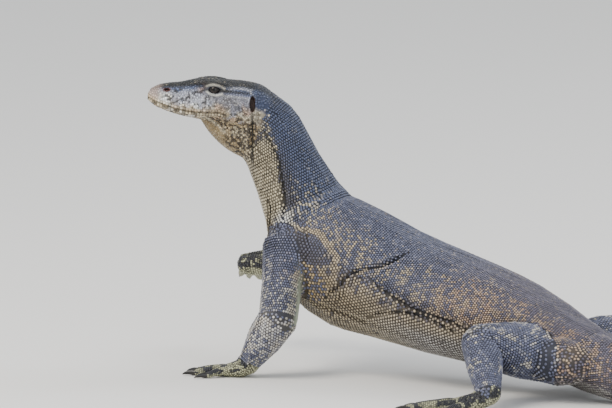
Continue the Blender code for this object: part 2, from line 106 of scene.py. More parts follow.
# in mm: forward of the ear plane, half width, top, mouth line, chin
HEAD = np.array((
    (-30, 22, 6, -11, -25),
    (-18, 30, 18, -10.5, -32.5),
    (-5, 33.2, 25.2, -10, -34.5),
    (10, 33.8, 27, -9.2, -32.5),
    (25, 33, 26.6, -8.8, -28.5),
    (40, 30.4, 25.6, -9, -24.5),
    (55, 26.8, 25.2, -11.2, -22.2),
    (70, 22.6, 21.8, -12.8, -21.4),
    (85, 19, 16.6, -12.4, -20.1),
    (100, 15.8, 13, -10, -17.2),
    (110, 12.5, 9.4, -8, -14.3),
    (115, 9.5, 6, -6.4, -11.4),
    (118, 6.2, 3, -5.4, -8.8),
    (119.4, 2.4, -1, -4.8, -6.6),
)) / 1000
HEAD_YAW, HEAD_PITCH = math.radians(35), math.radians(8)
EYE, EYE_RADIUS = np.array((0.0466, 0.0196, 0.0150)), 0.0072


def dot(first, second):
    """The sum of products over the last axis, for each pair of vectors."""
    return (first * second).sum(-1)


def lengths(vectors):
    """The root of the sum of squares over the last axis."""
    return np.linalg.norm(vectors, axis=-1)


def unit(vectors):
    """Vectors divided by their length."""
    vectors = np.asarray(vectors, float)
    return vectors / np.maximum(lengths(vectors)[..., None], 1e-12)


forward = np.array((
    -math.cos(HEAD_YAW) * math.cos(HEAD_PITCH),
    -math.sin(HEAD_YAW) * math.cos(HEAD_PITCH),
    math.sin(HEAD_PITCH),
))
left = np.array((math.sin(HEAD_YAW), -math.cos(HEAD_YAW), 0))
HEAD_AXES = np.array((forward, left, np.cross(forward, left)))
head_place = np.array((-0.0699, -0.0294, 0.2934))
eye_centre = np.mean(np.array(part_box("eye_left")), axis=0)
SHIFT = eye_centre - (EYE @ HEAD_AXES + head_place)
HEAD_PLACE = head_place + SHIFT
SPINE[:, :3] += SHIFT
print("the stations move by", SHIFT.round(5), "to stand where the solids are")

# %% [markdown]
# ## Camera, lamps and floor
#
# The picture was taken with a long lens, from a little above and from the animal's left. A long
# lens keeps near and far parts at one size, where a nearer camera would make the head too large.
# So we stand eleven metres away with a 600 mm lens. A museum shows its models on a plain floor
# in soft light: a warm key, a cool fill and a rim light from behind give long quiet highlights.

# %% Camera, lamps, sky and floor
VIEW_AZIMUTH, VIEW_ELEVATION = math.radians(35), math.radians(8)
FOCAL_MM, SENSOR_MM, CAMERA_DISTANCE, CLIP_END = 600, 36, 11.358, 60
LOOK_AT = np.array((-0.01368, -0.00958, 0.186)) + SHIFT


def aimed(obj, at):
    """Turns a lamp or the camera so that it looks at a point."""
    obj.rotation_euler = (Vector(at) - obj.location).to_track_quat("-Z", "Y").to_euler()
    bpy.context.scene.collection.objects.link(obj)
    return obj


back = np.array((
    math.sin(VIEW_AZIMUTH) * math.cos(VIEW_ELEVATION),
    -math.cos(VIEW_AZIMUTH) * math.cos(VIEW_ELEVATION),
    math.sin(VIEW_ELEVATION),
))
lens = bpy.data.cameras.new("camera")
lens.lens, lens.sensor_width, lens.clip_end = FOCAL_MM, SENSOR_MM, CLIP_END
camera = bpy.data.objects.new("camera", lens)
camera.location = LOOK_AT + back * CAMERA_DISTANCE
bpy.context.scene.camera = aimed(camera, LOOK_AT)

# name, place from the animal, size, watts, colour
LAMPS = (
    ("key_softbox", (-1.3, -2.0, 2.6), 1.6, 96, "#FFF8EE"),
    ("fill_softbox", (2.4, -2.2, 1.3), 2.4, 30, "#EEF3FF"),
    ("rim_softbox", (0.9, 2.2, 2.3), 1.8, 50, "#F4F7FF"),
)
LAMPS_AIM = (0, 0, 0.1)
SKY, SKY_STRENGTH = "#E4E7EA", 1.15
PAPER, PAPER_ROUGHNESS, FLOOR_REACH = "#E9E8E5", 0.9, 30


def linear(code):
    """An sRGB hex colour turned to the linear values that shaders use."""
    values = np.array([int(code[k:k + 2], 16) / 255 for k in (1, 3, 5)])
    return np.where(values <= 0.04045, values / 12.92, ((values + 0.055) / 1.055) ** 2.4)


def rgba(code):
    """The linear colour with an alpha of 1."""
    return (*linear(code), 1.0)


for name, place, size, watts, colour in LAMPS:
    lamp = bpy.data.lights.new(name, "AREA")
    lamp.size, lamp.energy, lamp.color = size, watts, linear(colour)
    softbox = bpy.data.objects.new(name, lamp)
    softbox.location = place
    aimed(softbox, LAMPS_AIM)
world = bpy.data.worlds.new("studio")
world.use_nodes = True
sky = world.node_tree.nodes["Background"].inputs
sky["Color"].default_value, sky["Strength"].default_value = rgba(SKY), SKY_STRENGTH
bpy.context.scene.world = world

floor_mesh = bpy.data.meshes.new("studio_floor")
floor_mesh.from_pydata(
    [(x * FLOOR_REACH, y * FLOOR_REACH, 0) for x, y in ((-1, -1), (1, -1), (1, 1), (-1, 1))],
    [], [(0, 1, 2, 3)],
)
floor = bpy.data.objects.new("studio_floor", floor_mesh)
bpy.context.scene.collection.objects.link(floor)
paper = bpy.data.materials.new("matt_studio_paper")
paper.use_nodes = True
matt = paper.node_tree.nodes["Principled BSDF"].inputs
matt["Base Color"].default_value, matt["Roughness"].default_value = rgba(PAPER), PAPER_ROUGHNESS
floor_mesh.materials.append(paper)
print("lamps:", [name for name, *_ in LAMPS])

# %% [markdown]
# ## Clay: the spine
#
# A sculptor starts from simple rods and balls of clay. Ours are sweeps: an oval carried along
# a path, its width and height following the stations. The first piece runs from the nape to the
# tip of the tail, where it carries a low keel. We could model the pieces by hand, but formulas
# keep them equal to the solids, and one function serves the spine, the limbs and the toes.

# %% Curves, ovals and the clay of the spine
NUDGE = 0.01


def smooth(knots, values, at):
    """Cubic Hermite: between two knots the values blend by 3u^2 - 2u^3, plus the slopes' part."""
    knots, values, at = (np.asarray(x, float) for x in (knots, values, at))
    slopes = np.gradient(values, knots, axis=0)
    k = np.clip(np.searchsorted(knots, at, side="right") - 1, 0, len(knots) - 2)
    step = knots[k + 1] - knots[k]
    u = (at - knots[k]) / step
    if values.ndim > 1:
        u, step = u[:, None], step[:, None]
    return (
        (1 + 2 * u) * (1 - u) ** 2 * values[k]
        + u * (1 - u) ** 2 * step * slopes[k]
        + u * u * (3 - 2 * u) * values[k + 1]
        - u * u * (1 - u) * step * slopes[k + 1]
    )


def path_frames(points, at, side_hint=None):
    """Centres, tangents, sides and ups on a path: side is level, or as near the hint as it can be."""
    knots = np.arange(len(points))
    ahead, behind = (smooth(knots, points, np.clip(at + d, 0, knots[-1])) for d in (NUDGE, -NUDGE))
    tangent = unit(ahead - behind)
    if side_hint is None:
        side = unit(np.cross((0, 0, 1), tangent))
    else:
        side = unit(side_hint - (tangent @ side_hint)[:, None] * tangent)
    return smooth(knots, points, at), tangent, side, np.cross(tangent, side)


def oval(angle, width, above, below, squareness=2.0):
    """Superellipse: width |cos|^(2/n) across, height |sin|^(2/n) up, the lower half its own height."""
    power = 2 / squareness
    height = np.where(np.sin(angle) > 0, above, below)
    return (
        width * np.sign(np.cos(angle)) * np.abs(np.cos(angle)) ** power,
        height * np.sign(np.sin(angle)) * np.abs(np.sin(angle)) ** power,
    )


SPINE_RINGS, SPINE_AROUND, POLE_GAP = 560, 96, 0.02


def spine_point(at, angle):
    """The body's surface at each pair of station and angle: the frame's centre plus the oval."""
    centre, tangent, side, up = path_frames(SPINE[:, :3], at)
    width, above, below = smooth(range(len(SPINE)), SPINE[:, 3:], at).T
    across, height = oval(angle, width, above, below, SPINE_SQUARENESS)
    keel = TAIL_KEEL * np.clip((at - TAIL_START) / 2, 0, 1) * np.clip((LAST - at) / 2, 0, 1)
    height = height + keel * np.clip((np.sin(angle) - 0.9) / 0.1, 0, 1)
    return centre + side * across[:, None] + up * height[:, None]


def grid(first, second):
    """Every pair of two lists of values, as two flat arrays."""
    a, b = np.meshgrid(first, second, indexing="ij")
    return a.ravel(), b.ravel()


def sweep(points, sizes, count, around, span=None, side_hint=None):
    """Rings of an oval along a path: sizes are half width and half height at each point."""
    at = np.linspace(*(span or (0, len(points) - 1)), count)
    half = smooth(range(len(points)), sizes, at)
    angle = TAU * np.arange(around) / around
    across, height = oval(angle[None], half[:, :1], half[:, 1:], half[:, 1:], 2.1)
    centre, _, side, up = path_frames(np.array(points, float), at, side_hint)
    return centre[:, None] + side[:, None] * across[..., None] + up[:, None] * height[..., None]


def ball(centre, half_sizes, slope=0.0, count=28, around=36):
    """An ellipsoid: the unit sphere's rings from pole to pole, stretched and tipped by the slope."""
    turn, lift = grid(np.linspace(POLE_GAP - math.pi / 2, math.pi / 2 - POLE_GAP, count),
                      TAU * np.arange(around) / around)
    unit_ball = np.stack([np.sin(turn), np.cos(turn) * np.cos(lift), np.cos(turn) * np.sin(lift)], 1)
    x, y, z = (unit_ball * half_sizes).T
    tipped = np.stack([x * math.cos(slope) + z * math.sin(slope), y,
                       z * math.cos(slope) - x * math.sin(slope)], 1)
    return (tipped + centre).reshape(count, around, 3)


def on_head(rings):
    """Places measured forward, left and up on the head, put where the head is."""
    return rings @ HEAD_AXES + HEAD_PLACE


def head_local(points):
    """Turns places back to forward, left and up on the head."""
    return (points - HEAD_PLACE) @ HEAD_AXES.T


clay = []
spine_at, spine_angle = grid(np.linspace(0, LAST, SPINE_RINGS), TAU * np.arange(SPINE_AROUND) / SPINE_AROUND)
clay.append(spine_point(spine_at, spine_angle).reshape(SPINE_RINGS, SPINE_AROUND, 3))
print("spine:", len(spine_at), "points")

# %% [markdown]
# ## Clay: the head
#
# A monitor's head is a long wedge: flat on top, a boxy snout, a bony ridge over each eye, and
# a soft throat below the jaw. The skull is an upper arc that is nearly square and a rounder
# lower arc; they meet at the mouth line. Flattened balls make throat and jaw muscle, and thin
# sweeps bowed over the eyeball make the lids.

# %% Head, throat, brows and lids
def head_ring(forward_at, count=120):
    """Rings of the skull and jaw: square upper arc (2.7), rounder lower arc (2.25), joined."""
    _, width, top, mouth, chin = smooth(HEAD[:, 0], HEAD, forward_at).T[:, :, None]
    angle = TAU * (np.arange(count) + 0.5)[None] / count
    y, z = oval(angle, width, top - mouth, mouth - chin, 2.7)
    low_y, low_z = oval(angle, width * 0.985, top - mouth, mouth - chin, 2.25)
    upper = np.sin(angle) > 0
    y, z = np.where(upper, y, low_y), np.where(upper, z, low_z)
    return np.stack([np.broadcast_to(forward_at[:, None], y.shape), y, z + mouth], 2)


head_span = np.linspace(0, 1, 130)
head_at = HEAD[0, 0] + (HEAD[-1, 0] - HEAD[0, 0]) * (1 - (1 - head_span) ** 1.5)
clay.append(on_head(head_ring(head_at)))
THROAT_SLOPE = math.radians(-36)
clay.append(on_head(ball((0.0270, 0, -0.0320), (0.0400, 0.0260, 0.0152), THROAT_SLOPE)))
clay.append(on_head(ball((0.0020, 0, -0.0260), (0.0360, 0.0315, 0.0225), THROAT_SLOPE)))

BROW_PATH = np.array((
    (78, 12, 14), (63, 17.2, 20), (48, 19.8, 22.2),
    (34, 20.5, 21), (15, 20, 16.5),
)) / 1000
BROW_SIZES = np.array(((2, 2), (4.2, 2.8), (5.8, 3.4), (5, 3.4), (2.2, 2.2))) / 1000
# up or down, rise over the eye's middle, half length, thickness
LIDS = ((1, 0.0048, 0.0084, 0.0022), (-1, 0.0044, 0.0073, 0.0019))
for side in (1, -1):
    clay.append(on_head(sweep(BROW_PATH * (1, side, 1), BROW_SIZES, 40, 20)))
    for lift_sign, rise, half_length, thickness in LIDS:
        share = np.linspace(-1, 1, 9)
        lift = lift_sign * rise * (1 - share**2) ** 0.8 + 0.0002
        out = np.sqrt(EYE_RADIUS**2 - np.minimum((half_length * share) ** 2 + lift**2, EYE_RADIUS**2 * 0.98))
        lid = np.stack([EYE[0] + half_length * share, side * (EYE[1] + out - 0.0008), EYE[2] + lift], 1)
        thick = thickness * (1 - 0.4 * share**2)
        clay.append(on_head(sweep(lid, np.stack([thick, thick], 1), 40, 16)))
print("head pieces:", len(clay) - 1)

# %% [markdown]
# ## Clay: the legs
#
# Each leg is two tapered sweeps that meet in a ball at the elbow or knee, with a flattened ball
# for the muscle where it leaves the body. The sweeps are a little flatter than round, across the
# plane in which the leg bends.

# %% Clay of the legs
# in mm: shoulder or hip, elbow or knee, wrist or ankle
LIMBS = {
    "foreleg_left": ((-18, -40, 146), (0, -83, 67), (-32, -94, 17)),
    "foreleg_right": ((-8, 40, 146), (-62, 78, 104), (-137, 54, 101)),
    "hindleg_left": ((326, -24, 47), (282, -98, 66), (318, -137, 20)),
    "hindleg_right": ((322, 24, 44), (344, 118, 56), (398, 142, 20)),
}
# half heights from the shoulder or hip to the elbow or knee, and on to the wrist or ankle
LIMB_RADII = {
    "foreleg": (0.0285, 0.0240, 0.0226, 0.0208, 0.0132),
    "hindleg": (0.0275, 0.0315, 0.0222, 0.0200, 0.0138),
}
# the ball of muscle at the root of the leg: its shift from the joint and its half sizes
ROOT_SHIFTS = {"foreleg": (0.014, 0.003, -0.002), "hindleg": (0.018, 0.016, -0.002)}
ROOT_SIZES = {"foreleg": (0.0350, 0.0190, 0.0270), "hindleg": (0.0440, 0.0300, 0.0270)}
LIMB_FLATNESS = 0.92
limb_paths = {}


def limb_halves(top, middle, end, radii):
    """Upper and lower half of a leg: three points of the axis, with half width and half height."""
    for a, b, sizes in ((top, middle, radii[:3]), (middle, end, radii[2:])):
        yield (a, a * 0.55 + b * 0.45, b), [(r * LIMB_FLATNESS, r) for r in sizes]


def leg_clay(limb, joints):
    """Adds both halves of a leg, the balls at its joints and the muscle at its root."""
    kind, side_name = limb.split("_")
    top, middle, end = np.array(joints) / 1000 + SHIFT
    radii = LIMB_RADII[kind]
    bend = unit(np.cross(top - middle, end - middle))
    for path, sizes in limb_halves(top, middle, end, radii):
        clay.append(sweep(path, sizes, 60, 40, None, bend))
    clay.append(ball(middle, (radii[2],) * 3))
    clay.append(ball(end, (radii[4],) * 3))
    mirror = 1 if side_name == "left" else -1
    clay.append(ball(top + np.array(ROOT_SHIFTS[kind]) * (1, -mirror, 1), ROOT_SIZES[kind]))
    limb_paths[limb] = (top, middle, end, radii, bend)


for limb, joints in LIMBS.items():
    reach = lengths(np.diff(joints, axis=0))
    print(limb, "upper and lower half:", reach.round(), "mm")

# %% [markdown]
# ## Clay: feet and toes
#
# A foot is a broad palm and five toes, which leave it at their own angles and run down to the
# floor. Each path goes on into the claw, so that the horn leaves the toe in the right direction.
# The lifted foot hangs from its wrist with its toes closer together.

# %% Clay of palms and toes
# heading of the foot in degrees from +X, dip of the toes, spread of the toes
FOOT_AIMS = {
    "forefoot_left": (190, 0, 1.0),
    "forefoot_right": (112, 16, 0.5),
    "hindfoot_left": (206, 0, 1.0),
    "hindfoot_right": (122, 0, 1.0),
}
# toe length, angle from the heading, root across the foot, root along it
TOES = {
    "forefoot": (
        (0.020, -42, -0.0105, 0.022),
        (0.029, -20, -0.0065, 0.027),
        (0.034, -2, 0.0000, 0.029),
        (0.033, 17, 0.0065, 0.027),
        (0.025, 44, 0.0105, 0.021),
    ),
    "hindfoot": (
        (0.020, -34, -0.0110, 0.030),
        (0.031, -18, -0.0070, 0.037),
        (0.041, -4, -0.0005, 0.040),
        (0.050, 10, 0.0065, 0.039),
        (0.036, 46, 0.0120, 0.022),
    ),
}
PALM_LENGTH = {"forefoot": 0.030, "hindfoot": 0.042}
# shares of the palm's half width and half height, from the wrist or ankle to the toes
PALM_TAPER = ((0.86, 1.45), (0.95, 1.20), (1.0, 1.0), (0.82, 0.72))
PALM_HALF_WIDTH, PALM_HALF_HEIGHT = 0.0150, 0.0085
TOE_RADIUS, CLAW_LENGTH, FLOOR_SINK = 0.0050, 0.0145, 0.0012
TOE_TAPER, LONG_TOE = (1, 1, 0.92, 0.74, 0.7, 0.6, 0.5), 0.03
# how far along the claw, and height over the sole
CLAW_ARC = ((0.40, 0.0006), (0.76, -0.0002), (1.0, -0.0016))
RAISED_FOOT_DROP = 0.010
toe_paths, palms = {}, {}


def toe_clay(name, toe, end, axes, mirror, level, sole, spread):
    """A toe from inside the palm to the floor: a sweep whose path goes on along the claw's arc."""
    reach, degrees, across, root = toe
    angle = math.radians(degrees) * spread
    wide = TOE_RADIUS * (1.04 if reach > LONG_TOE else 0.94)
    far = [-0.008, reach * 0.18, reach * 0.58, reach]
    far = np.array(far + [reach + CLAW_LENGTH * share for share, _ in CLAW_ARC])
    height = [level - 0.002, (level + sole) / 2 + 0.002, sole + 0.0028, sole + 0.0004]
    height = np.array(height + [sole + lift for _, lift in CLAW_ARC])
    flat_toe = (root + math.cos(angle) * far, across + math.sin(angle) * far, height)
    toe_path = end + np.stack(flat_toe, 1) @ axes
    toe_side = mirror * (axes[1] * math.cos(angle) - axes[0] * math.sin(angle))
    toe_sizes = wide * np.array(TOE_TAPER)[:, None] * (1, 1)
    clay.append(sweep(toe_path, toe_sizes, 48, 24, (0, 3), toe_side))
    toe_paths[name] = (toe_path, toe_sizes, toe_side)


def foot_clay(limb):
    """A palm that bows down to the floor, or hangs where the foot is lifted, and its five toes."""
    kind, side_name = limb.split("_")
    foot_kind = "forefoot" if kind == "foreleg" else "hindfoot"
    foot, end = f"{foot_kind}_{side_name}", limb_paths[limb][2]
    heading, dip, spread = FOOT_AIMS[foot]
    heading, dip = math.radians(heading), math.radians(dip)
    ahead = np.array((math.cos(heading), math.sin(heading), 0)) * math.cos(dip)
    ahead[2] -= math.sin(dip)
    side = unit(np.cross((0, 0, 1), ahead))
    mirror = 1 if side_name == "left" else -1
    axes = np.array((ahead, side * mirror, np.cross(ahead, side)))
    drop = RAISED_FOOT_DROP if dip else end[2]
    level = PALM_HALF_HEIGHT - FLOOR_SINK - drop
    sole = TOE_RADIUS * 0.86 - FLOOR_SINK - drop
    length = PALM_LENGTH[foot_kind]
    spots = np.array((
        (-0.002, 0, -0.001), (length * 0.34, 0, level * 0.75), (length * 0.68, 0, level),
        (length, 0, level - 0.001),
    ))
    palm_path = end + spots @ axes
    palm_sizes = [(PALM_HALF_WIDTH * w, PALM_HALF_HEIGHT * h) for w, h in PALM_TAPER]
    clay.append(sweep(palm_path, palm_sizes, 40, 36, None, side))
    palms[foot] = (palm_path, palm_sizes, side)
    for number, toe in enumerate(TOES[foot_kind], 1):
        toe_clay(f"{foot}_{number}", toe, end, axes, mirror, level, sole, spread)


for limb, joints in LIMBS.items():
    leg_clay(limb, joints)
    foot_clay(limb)
print(len(clay), "pieces of clay,", len(toe_paths), "toes")

# %% [markdown]
# ## One skin
#
# The pieces of clay only overlap. A voxel remesh turns them into one closed skin, as a wet hand
# would: it fills a fine grid of cells and lays a surface round them. The cells are 1.2 mm, as
# fine as the toes need. Fields of a mesh are read back by `foreach_get`, all in one call.

# %% Join the clay and remesh it
def shell_faces(count, around, start):
    """Quads between neighbouring rings, and one flat face at each end."""
    r, k = grid(np.arange(count - 1), np.arange(around))
    n = (k + 1) % around
    quads = np.stack([r * around + k, r * around + n, (r + 1) * around + n, (r + 1) * around + k], 1)
    ends = [list(range(around)), [(count - 1) * around + k for k in range(around)]]
    return (quads + start).tolist() + [[v + start for v in end] for end in ends]


def new_object(name, points, faces):
    """An object in the scene whose mesh has these corners and faces."""
    mesh = bpy.data.meshes.new(name)
    mesh.from_pydata(np.asarray(points), [], faces)
    made = bpy.data.objects.new(name, mesh)
    bpy.context.scene.collection.objects.link(made)
    return made


def outwards(mesh):
    """Turns every face of closed pieces to point out of them."""
    tidy = bmesh.new()
    tidy.from_mesh(mesh)
    bmesh.ops.recalc_face_normals(tidy, faces=tidy.faces)
    tidy.to_mesh(mesh)
    tidy.free()


def applied(obj):
    """Replaces an object's mesh by what its modifiers make of it."""
    graph = bpy.context.evaluated_depsgraph_get()
    made = bpy.data.meshes.new_from_object(obj.evaluated_get(graph))
    obj.modifiers.clear()
    obj.data = made
    return obj


def get(mesh, part="vertices", field="co", width=3, kind=np.float32):
    """One field of all vertices, edges or faces of a mesh, as an array."""
    values = np.empty(len(getattr(mesh, part)) * width, kind)
    getattr(mesh, part).foreach_get(field, values)
    return values.reshape(-1, width) if width > 1 else values


VOXEL = 0.0012
faces, start = [], 0
for rings in clay:
    faces += shell_faces(*rings.shape[:2], start)
    start += rings.shape[0] * rings.shape[1]
skin = new_object("monitor_skin", np.concatenate([rings.reshape(-1, 3) for rings in clay]), faces)
outwards(skin.data)
remesh = skin.modifiers.new("remesh", "REMESH")
remesh.mode, remesh.voxel_size, remesh.use_smooth_shade = "VOXEL", VOXEL, True
applied(skin)
report("skin:", len(skin.data.vertices), "vertices")

# %% [markdown]
# ## Body coordinates
#
# To soften a shoulder, press a fold or lay a row of scales, we have to know on which part of the
# body a point is, how far along it, and at what angle round it. For each part we look for the
# nearest place on its path and measure how far the point is from the part's own surface. The
# part with the smallest distance owns the point. A box round each part saves most of the work.

# %% Parts, and who owns a point
CHUNK = 20000


def path_lengths(points):
    """Length walked along a path of straight pieces, from 0 at its first point."""
    return np.concatenate([[0], np.cumsum(lengths(np.diff(points, axis=0)))])


class Part:
    """One sweep of the body: its path, sizes and sampled frames, for looking points up."""

    def __init__(self, name, points, sizes, side_hint=None, squareness=2.1, samples=80):
        self.name, self.points, self.side_hint = name, np.array(points, float), side_hint
        self.sizes, self.squareness = np.array(sizes, float), squareness
        self.knots = np.arange(len(points))
        self.at = np.linspace(0, len(points) - 1, samples)
        self.centres, self.tangents, _, _ = path_frames(self.points, self.at, side_hint)
        self.lengths = path_lengths(self.centres)

    def surface(self, at, angle):
        """The part's own surface: centre + side * across + up * height of its oval."""
        centre, _, side, up = path_frames(self.points, at, self.side_hint)
        half = smooth(self.knots, self.sizes, at).T
        across, height = oval(angle, half[0], half[1], half[-1], self.squareness)
        return centre + side * across[:, None] + up * height[:, None]

    def look_up(self, points):
        """Place along the path, angle round it and distance from the surface, for each point."""
        nearest = np.empty(len(points), int)
        for k in range(0, len(points), CHUNK):
            gaps = points[k:k + CHUNK, None].astype(np.float32) - self.centres[None].astype(np.float32)
            nearest[k:k + CHUNK] = np.einsum("ijk,ijk->ij", gaps, gaps).argmin(1)
        pace = np.gradient(self.lengths, self.at)[nearest]
        ahead = dot(points - self.centres[nearest], self.tangents[nearest])
        at = np.clip(self.at[nearest] + ahead / pace, 0, self.at[-1])
        centre, _, side, up = path_frames(self.points, at, self.side_hint)
        half = smooth(self.knots, self.sizes, at).T
        x = dot(points - centre, side)
        z = dot(points - centre, up)
        angle = np.arctan2(z / np.where(z > 0, half[1], half[-1]), x / half[0]) % TAU
        across, height = oval(angle, half[0], half[1], half[-1], self.squareness)
        return at, angle, lengths(points - centre) - np.hypot(across, height)


spine_part = Part("spine", SPINE[:, :3], SPINE[:, 3:], None, SPINE_SQUARENESS, 260)
parts = [spine_part]
for limb, (top, middle, end, radii, bend) in limb_paths.items():
    for half, (path, sizes) in zip(("upper_", "lower_"), limb_halves(top, middle, end, radii)):
        parts.append(Part(half + limb, path, sizes, bend, samples=40))
parts += [Part("palm_" + foot, *palm, samples=30) for foot, palm in palms.items()]
parts += [Part("toe_" + toe, points[:4], sizes[:4], side, samples=30)
          for toe, (points, sizes, side) in toe_paths.items()]
LAST_LEG, LAST_PALM = 8, 12
FAR, LOOK_AROUND = 1.0, 0.03


def on_body(points):
    """For each point: distance to each part, and the place and angle on the part that owns it."""
    points = np.asarray(points, float)
    distance = np.full((len(parts), len(points)), FAR)
    at, angle = np.zeros(len(points)), np.zeros(len(points))
    best = np.full(len(points), FAR)
    owner = np.zeros(len(points), int)
    for k, part in enumerate(parts):
        reach = part.sizes.max() + LOOK_AROUND
        low, high = part.centres.min(0) - reach, part.centres.max(0) + reach
        near = np.flatnonzero(((points > low) & (points < high)).all(1))
        there, around, gap = part.look_up(points[near])
        distance[k, near] = gap
        closer = gap < best[near]
        chosen = near[closer]
        best[chosen], owner[chosen] = gap[closer], k
        at[chosen], angle[chosen] = there[closer], around[closer]
    return distance, owner, at, angle


vertices = get(skin.data).astype(float)
distance, owner, at, angle = on_body(vertices)
report("owners:", np.bincount(owner)[:14])

# %% [markdown]
# ## Soft joints
#
# Where a limb leaves the body, the clay meets in a hard line, but skin stretches over the gap.
# We relax the mesh there: each vertex moves towards the middle of its neighbours, most where
# two parts are equally near. Knees and toes get a small share, because relaxing thins a limb. A
# light pass over everything takes away the steps of the cells.

# %% Relax the joints
def relax(points, edges, weight, rounds):
    """Each round: p moves by weight times (mean of its neighbours minus p)."""
    touched = (weight[edges] > 0.01).any(1)
    used, local = np.unique(edges[touched], return_inverse=True)
    a, b = local.reshape(-1, 2).T
    count = np.bincount(a, minlength=len(used)) + np.bincount(b, minlength=len(used))
    moving, share = points[used], weight[used][:, None]
    for _ in range(rounds):
        total = np.stack([
            np.bincount(a, moving[b, k], len(used)) + np.bincount(b, moving[a, k], len(used))
            for k in range(3)
        ], 1)
        moving = moving + share * (total / count[:, None] - moving)
    points = points.copy()
    points[used] = moving
    return points


def soft_step(value, low, high):
    """0 below low, 1 above high, and 3t^2 - 2t^3 between."""
    t = np.clip((value - low) / (high - low), 0, 1)
    return t * t * (3 - 2 * t)


def bump_at(value, centre, half):
    """A bell curve: 1 at the centre, falling to about a third at half a width away."""
    return np.exp(-((value - centre) / half) ** 2)


LIMB_SHARE, JOINT_ROUNDS = 0.12, 45
LEG_REACH, PALM_REACH, TOE_REACH = 0.010, 0.004, 0.0022
edges = get(skin.data, "edges", "vertices", 2, np.int32)
others = np.maximum(distance, 0)
others[owner, np.arange(len(owner))] = FAR
second, second_part = others.min(0), others.argmin(0)
reach = np.where(owner > LAST_PALM, TOE_REACH, np.where(owner > LAST_LEG, PALM_REACH, LEG_REACH))
joint = bump_at(second, 0, reach) * np.where((owner > 0) & (second_part > 0), LIMB_SHARE, 1.0)
ahead, sideways, upwards = head_local(vertices).T
nape = (1 - soft_step(ahead, 0.004, 0.022)) * soft_step(ahead, -0.060, -0.030)
under_jaw = soft_step(-upwards, 0.022, 0.030) * soft_step(ahead, -0.05, -0.02)
under_jaw *= 1 - soft_step(ahead, 0.05, 0.075)
joint = np.where(owner == 0, np.maximum(joint, 0.8 * np.maximum(nape, under_jaw)), joint)
vertices = relax(vertices, edges, np.ones(len(vertices)) * 0.5, 3)
vertices = relax(vertices, edges, joint * 0.9, JOINT_ROUNDS)
report("relaxed", int((joint > 0.01).sum()), "vertices")

# %% [markdown]
# ## Folds
#
# A lizard's skin is a size too large. It folds behind the arm, along the flank, in front of the
# hip and down each side of the neck. A fold is a line on the body: the skin sinks along it by a
# bell curve of the distance, and swells a little beside it.

# %% Press the folds
# station along the spine and degrees from the middle of the back, then depth and half width
FOLDS = (
    (((7.13, 114), (7.33, 97), (7.43, 86), (7.6, 76), (7.84, 68), (8.09, 58), (8.23, 46), (8.32, 33)),
     0.0038, 0.0024),
    (((7.85, 76), (8.12, 78), (8.35, 82), (8.83, 85), (9.1, 85), (9.46, 85), (9.8, 86), (10.24, 90)),
     0.0030, 0.0022),
    (((8.08, 114), (8.33, 102), (8.6, 94), (8.89, 90), (9.22, 89), (9.59, 92), (9.94, 96)),
     0.0030, 0.0022),
    (((10.94, 64), (11.26, 58), (11.63, 55), (12.02, 59)), 0.0022, 0.0022),
    (((0.9, 84), (1.43, 83), (2.3, 87), (2.73, 91), (3.68, 95), (4.34, 102), (4.9, 103)), 0.0022, 0.0028),
    (((3.9, 128), (4.4, 134), (4.9, 142), (5.3, 156)), 0.0034, 0.0026),
    (((6.9, 128), (7.2, 124), (7.7, 122), (8.2, 122)), 0.0016, 0.0026),
    (((1.2, 92), (1.3, 112), (1.25, 140)), 0.0009, 0.0020),
    (((1.9, 96), (2.05, 118), (2.0, 150)), 0.0009, 0.0020),
    (((2.7, 98), (2.6, 120), (2.75, 150)), 0.0009, 0.0020),
    (((3.3, 102), (3.45, 124), (3.4, 150)), 0.0009, 0.0020),
    (((3.95, 104), (3.85, 118), (4.0, 134)), 0.0009, 0.0020),
)


def line_distance(points, line):
    """Distance from each point to a line of straight pieces, and how far along it that is, 0 to 1."""
    best, along = np.full(len(points), FAR), np.zeros(len(points))
    for k, (a, b) in enumerate(zip(line, line[1:])):
        share = np.clip((points - a) @ (b - a) / ((b - a) @ (b - a)), 0, 1)
        gap = lengths(points - a - share[:, None] * (b - a))
        along = np.where(gap < best, (k + share) / (len(line) - 1), along)
        best = np.minimum(best, gap)
    return best, along


def on_sides(line):
    """A line in stations and degrees from the back, as points on the left and on the right side."""
    knots = np.arange(len(line))
    fine = np.linspace(0, len(line) - 1, 4 * len(line))
    station, degrees = smooth(knots, line, fine).T
    return [spine_point(station, np.radians(90 + side * degrees)) for side in (1, -1)]


def set_points(mesh, points):
    """Writes new places for all vertices of a mesh in one call."""
    mesh.vertices.foreach_set("co", np.asarray(points, np.float32).ravel())
    mesh.update()


set_points(skin.data, vertices)
normals = get(skin.data, "vertex_normals", "vector").astype(float)
sink = np.zeros(len(vertices))
body = np.flatnonzero(owner == 0)
for line, depth, width in FOLDS:
    for path in on_sides(line):
        gap, along = line_distance(vertices[body], path)
        fade = soft_step(np.minimum(along, 1 - along), -0.02, 0.15)
        sink[body] += depth * fade * (0.32 * bump_at(gap, 2.1 * width, 1.2 * width) - bump_at(gap, 0, width))
COAT_DEPTH = 0.0005
vertices += normals * (sink - COAT_DEPTH)[:, None]
vertices[:, 2] = np.maximum(vertices[:, 2], COAT_DEPTH)
set_points(skin.data, vertices)
print("folds:", len(FOLDS) * 2, "deepest", round(float(sink.min()) * 1000, 1), "mm")

# %% [markdown]
# ## Fewer triangles where nothing needs them
#
# The fine cells make far more triangles than the long smooth body needs. The Decimate modifier
# merges edges where that changes the shape least, and a vertex group spares the head and feet.

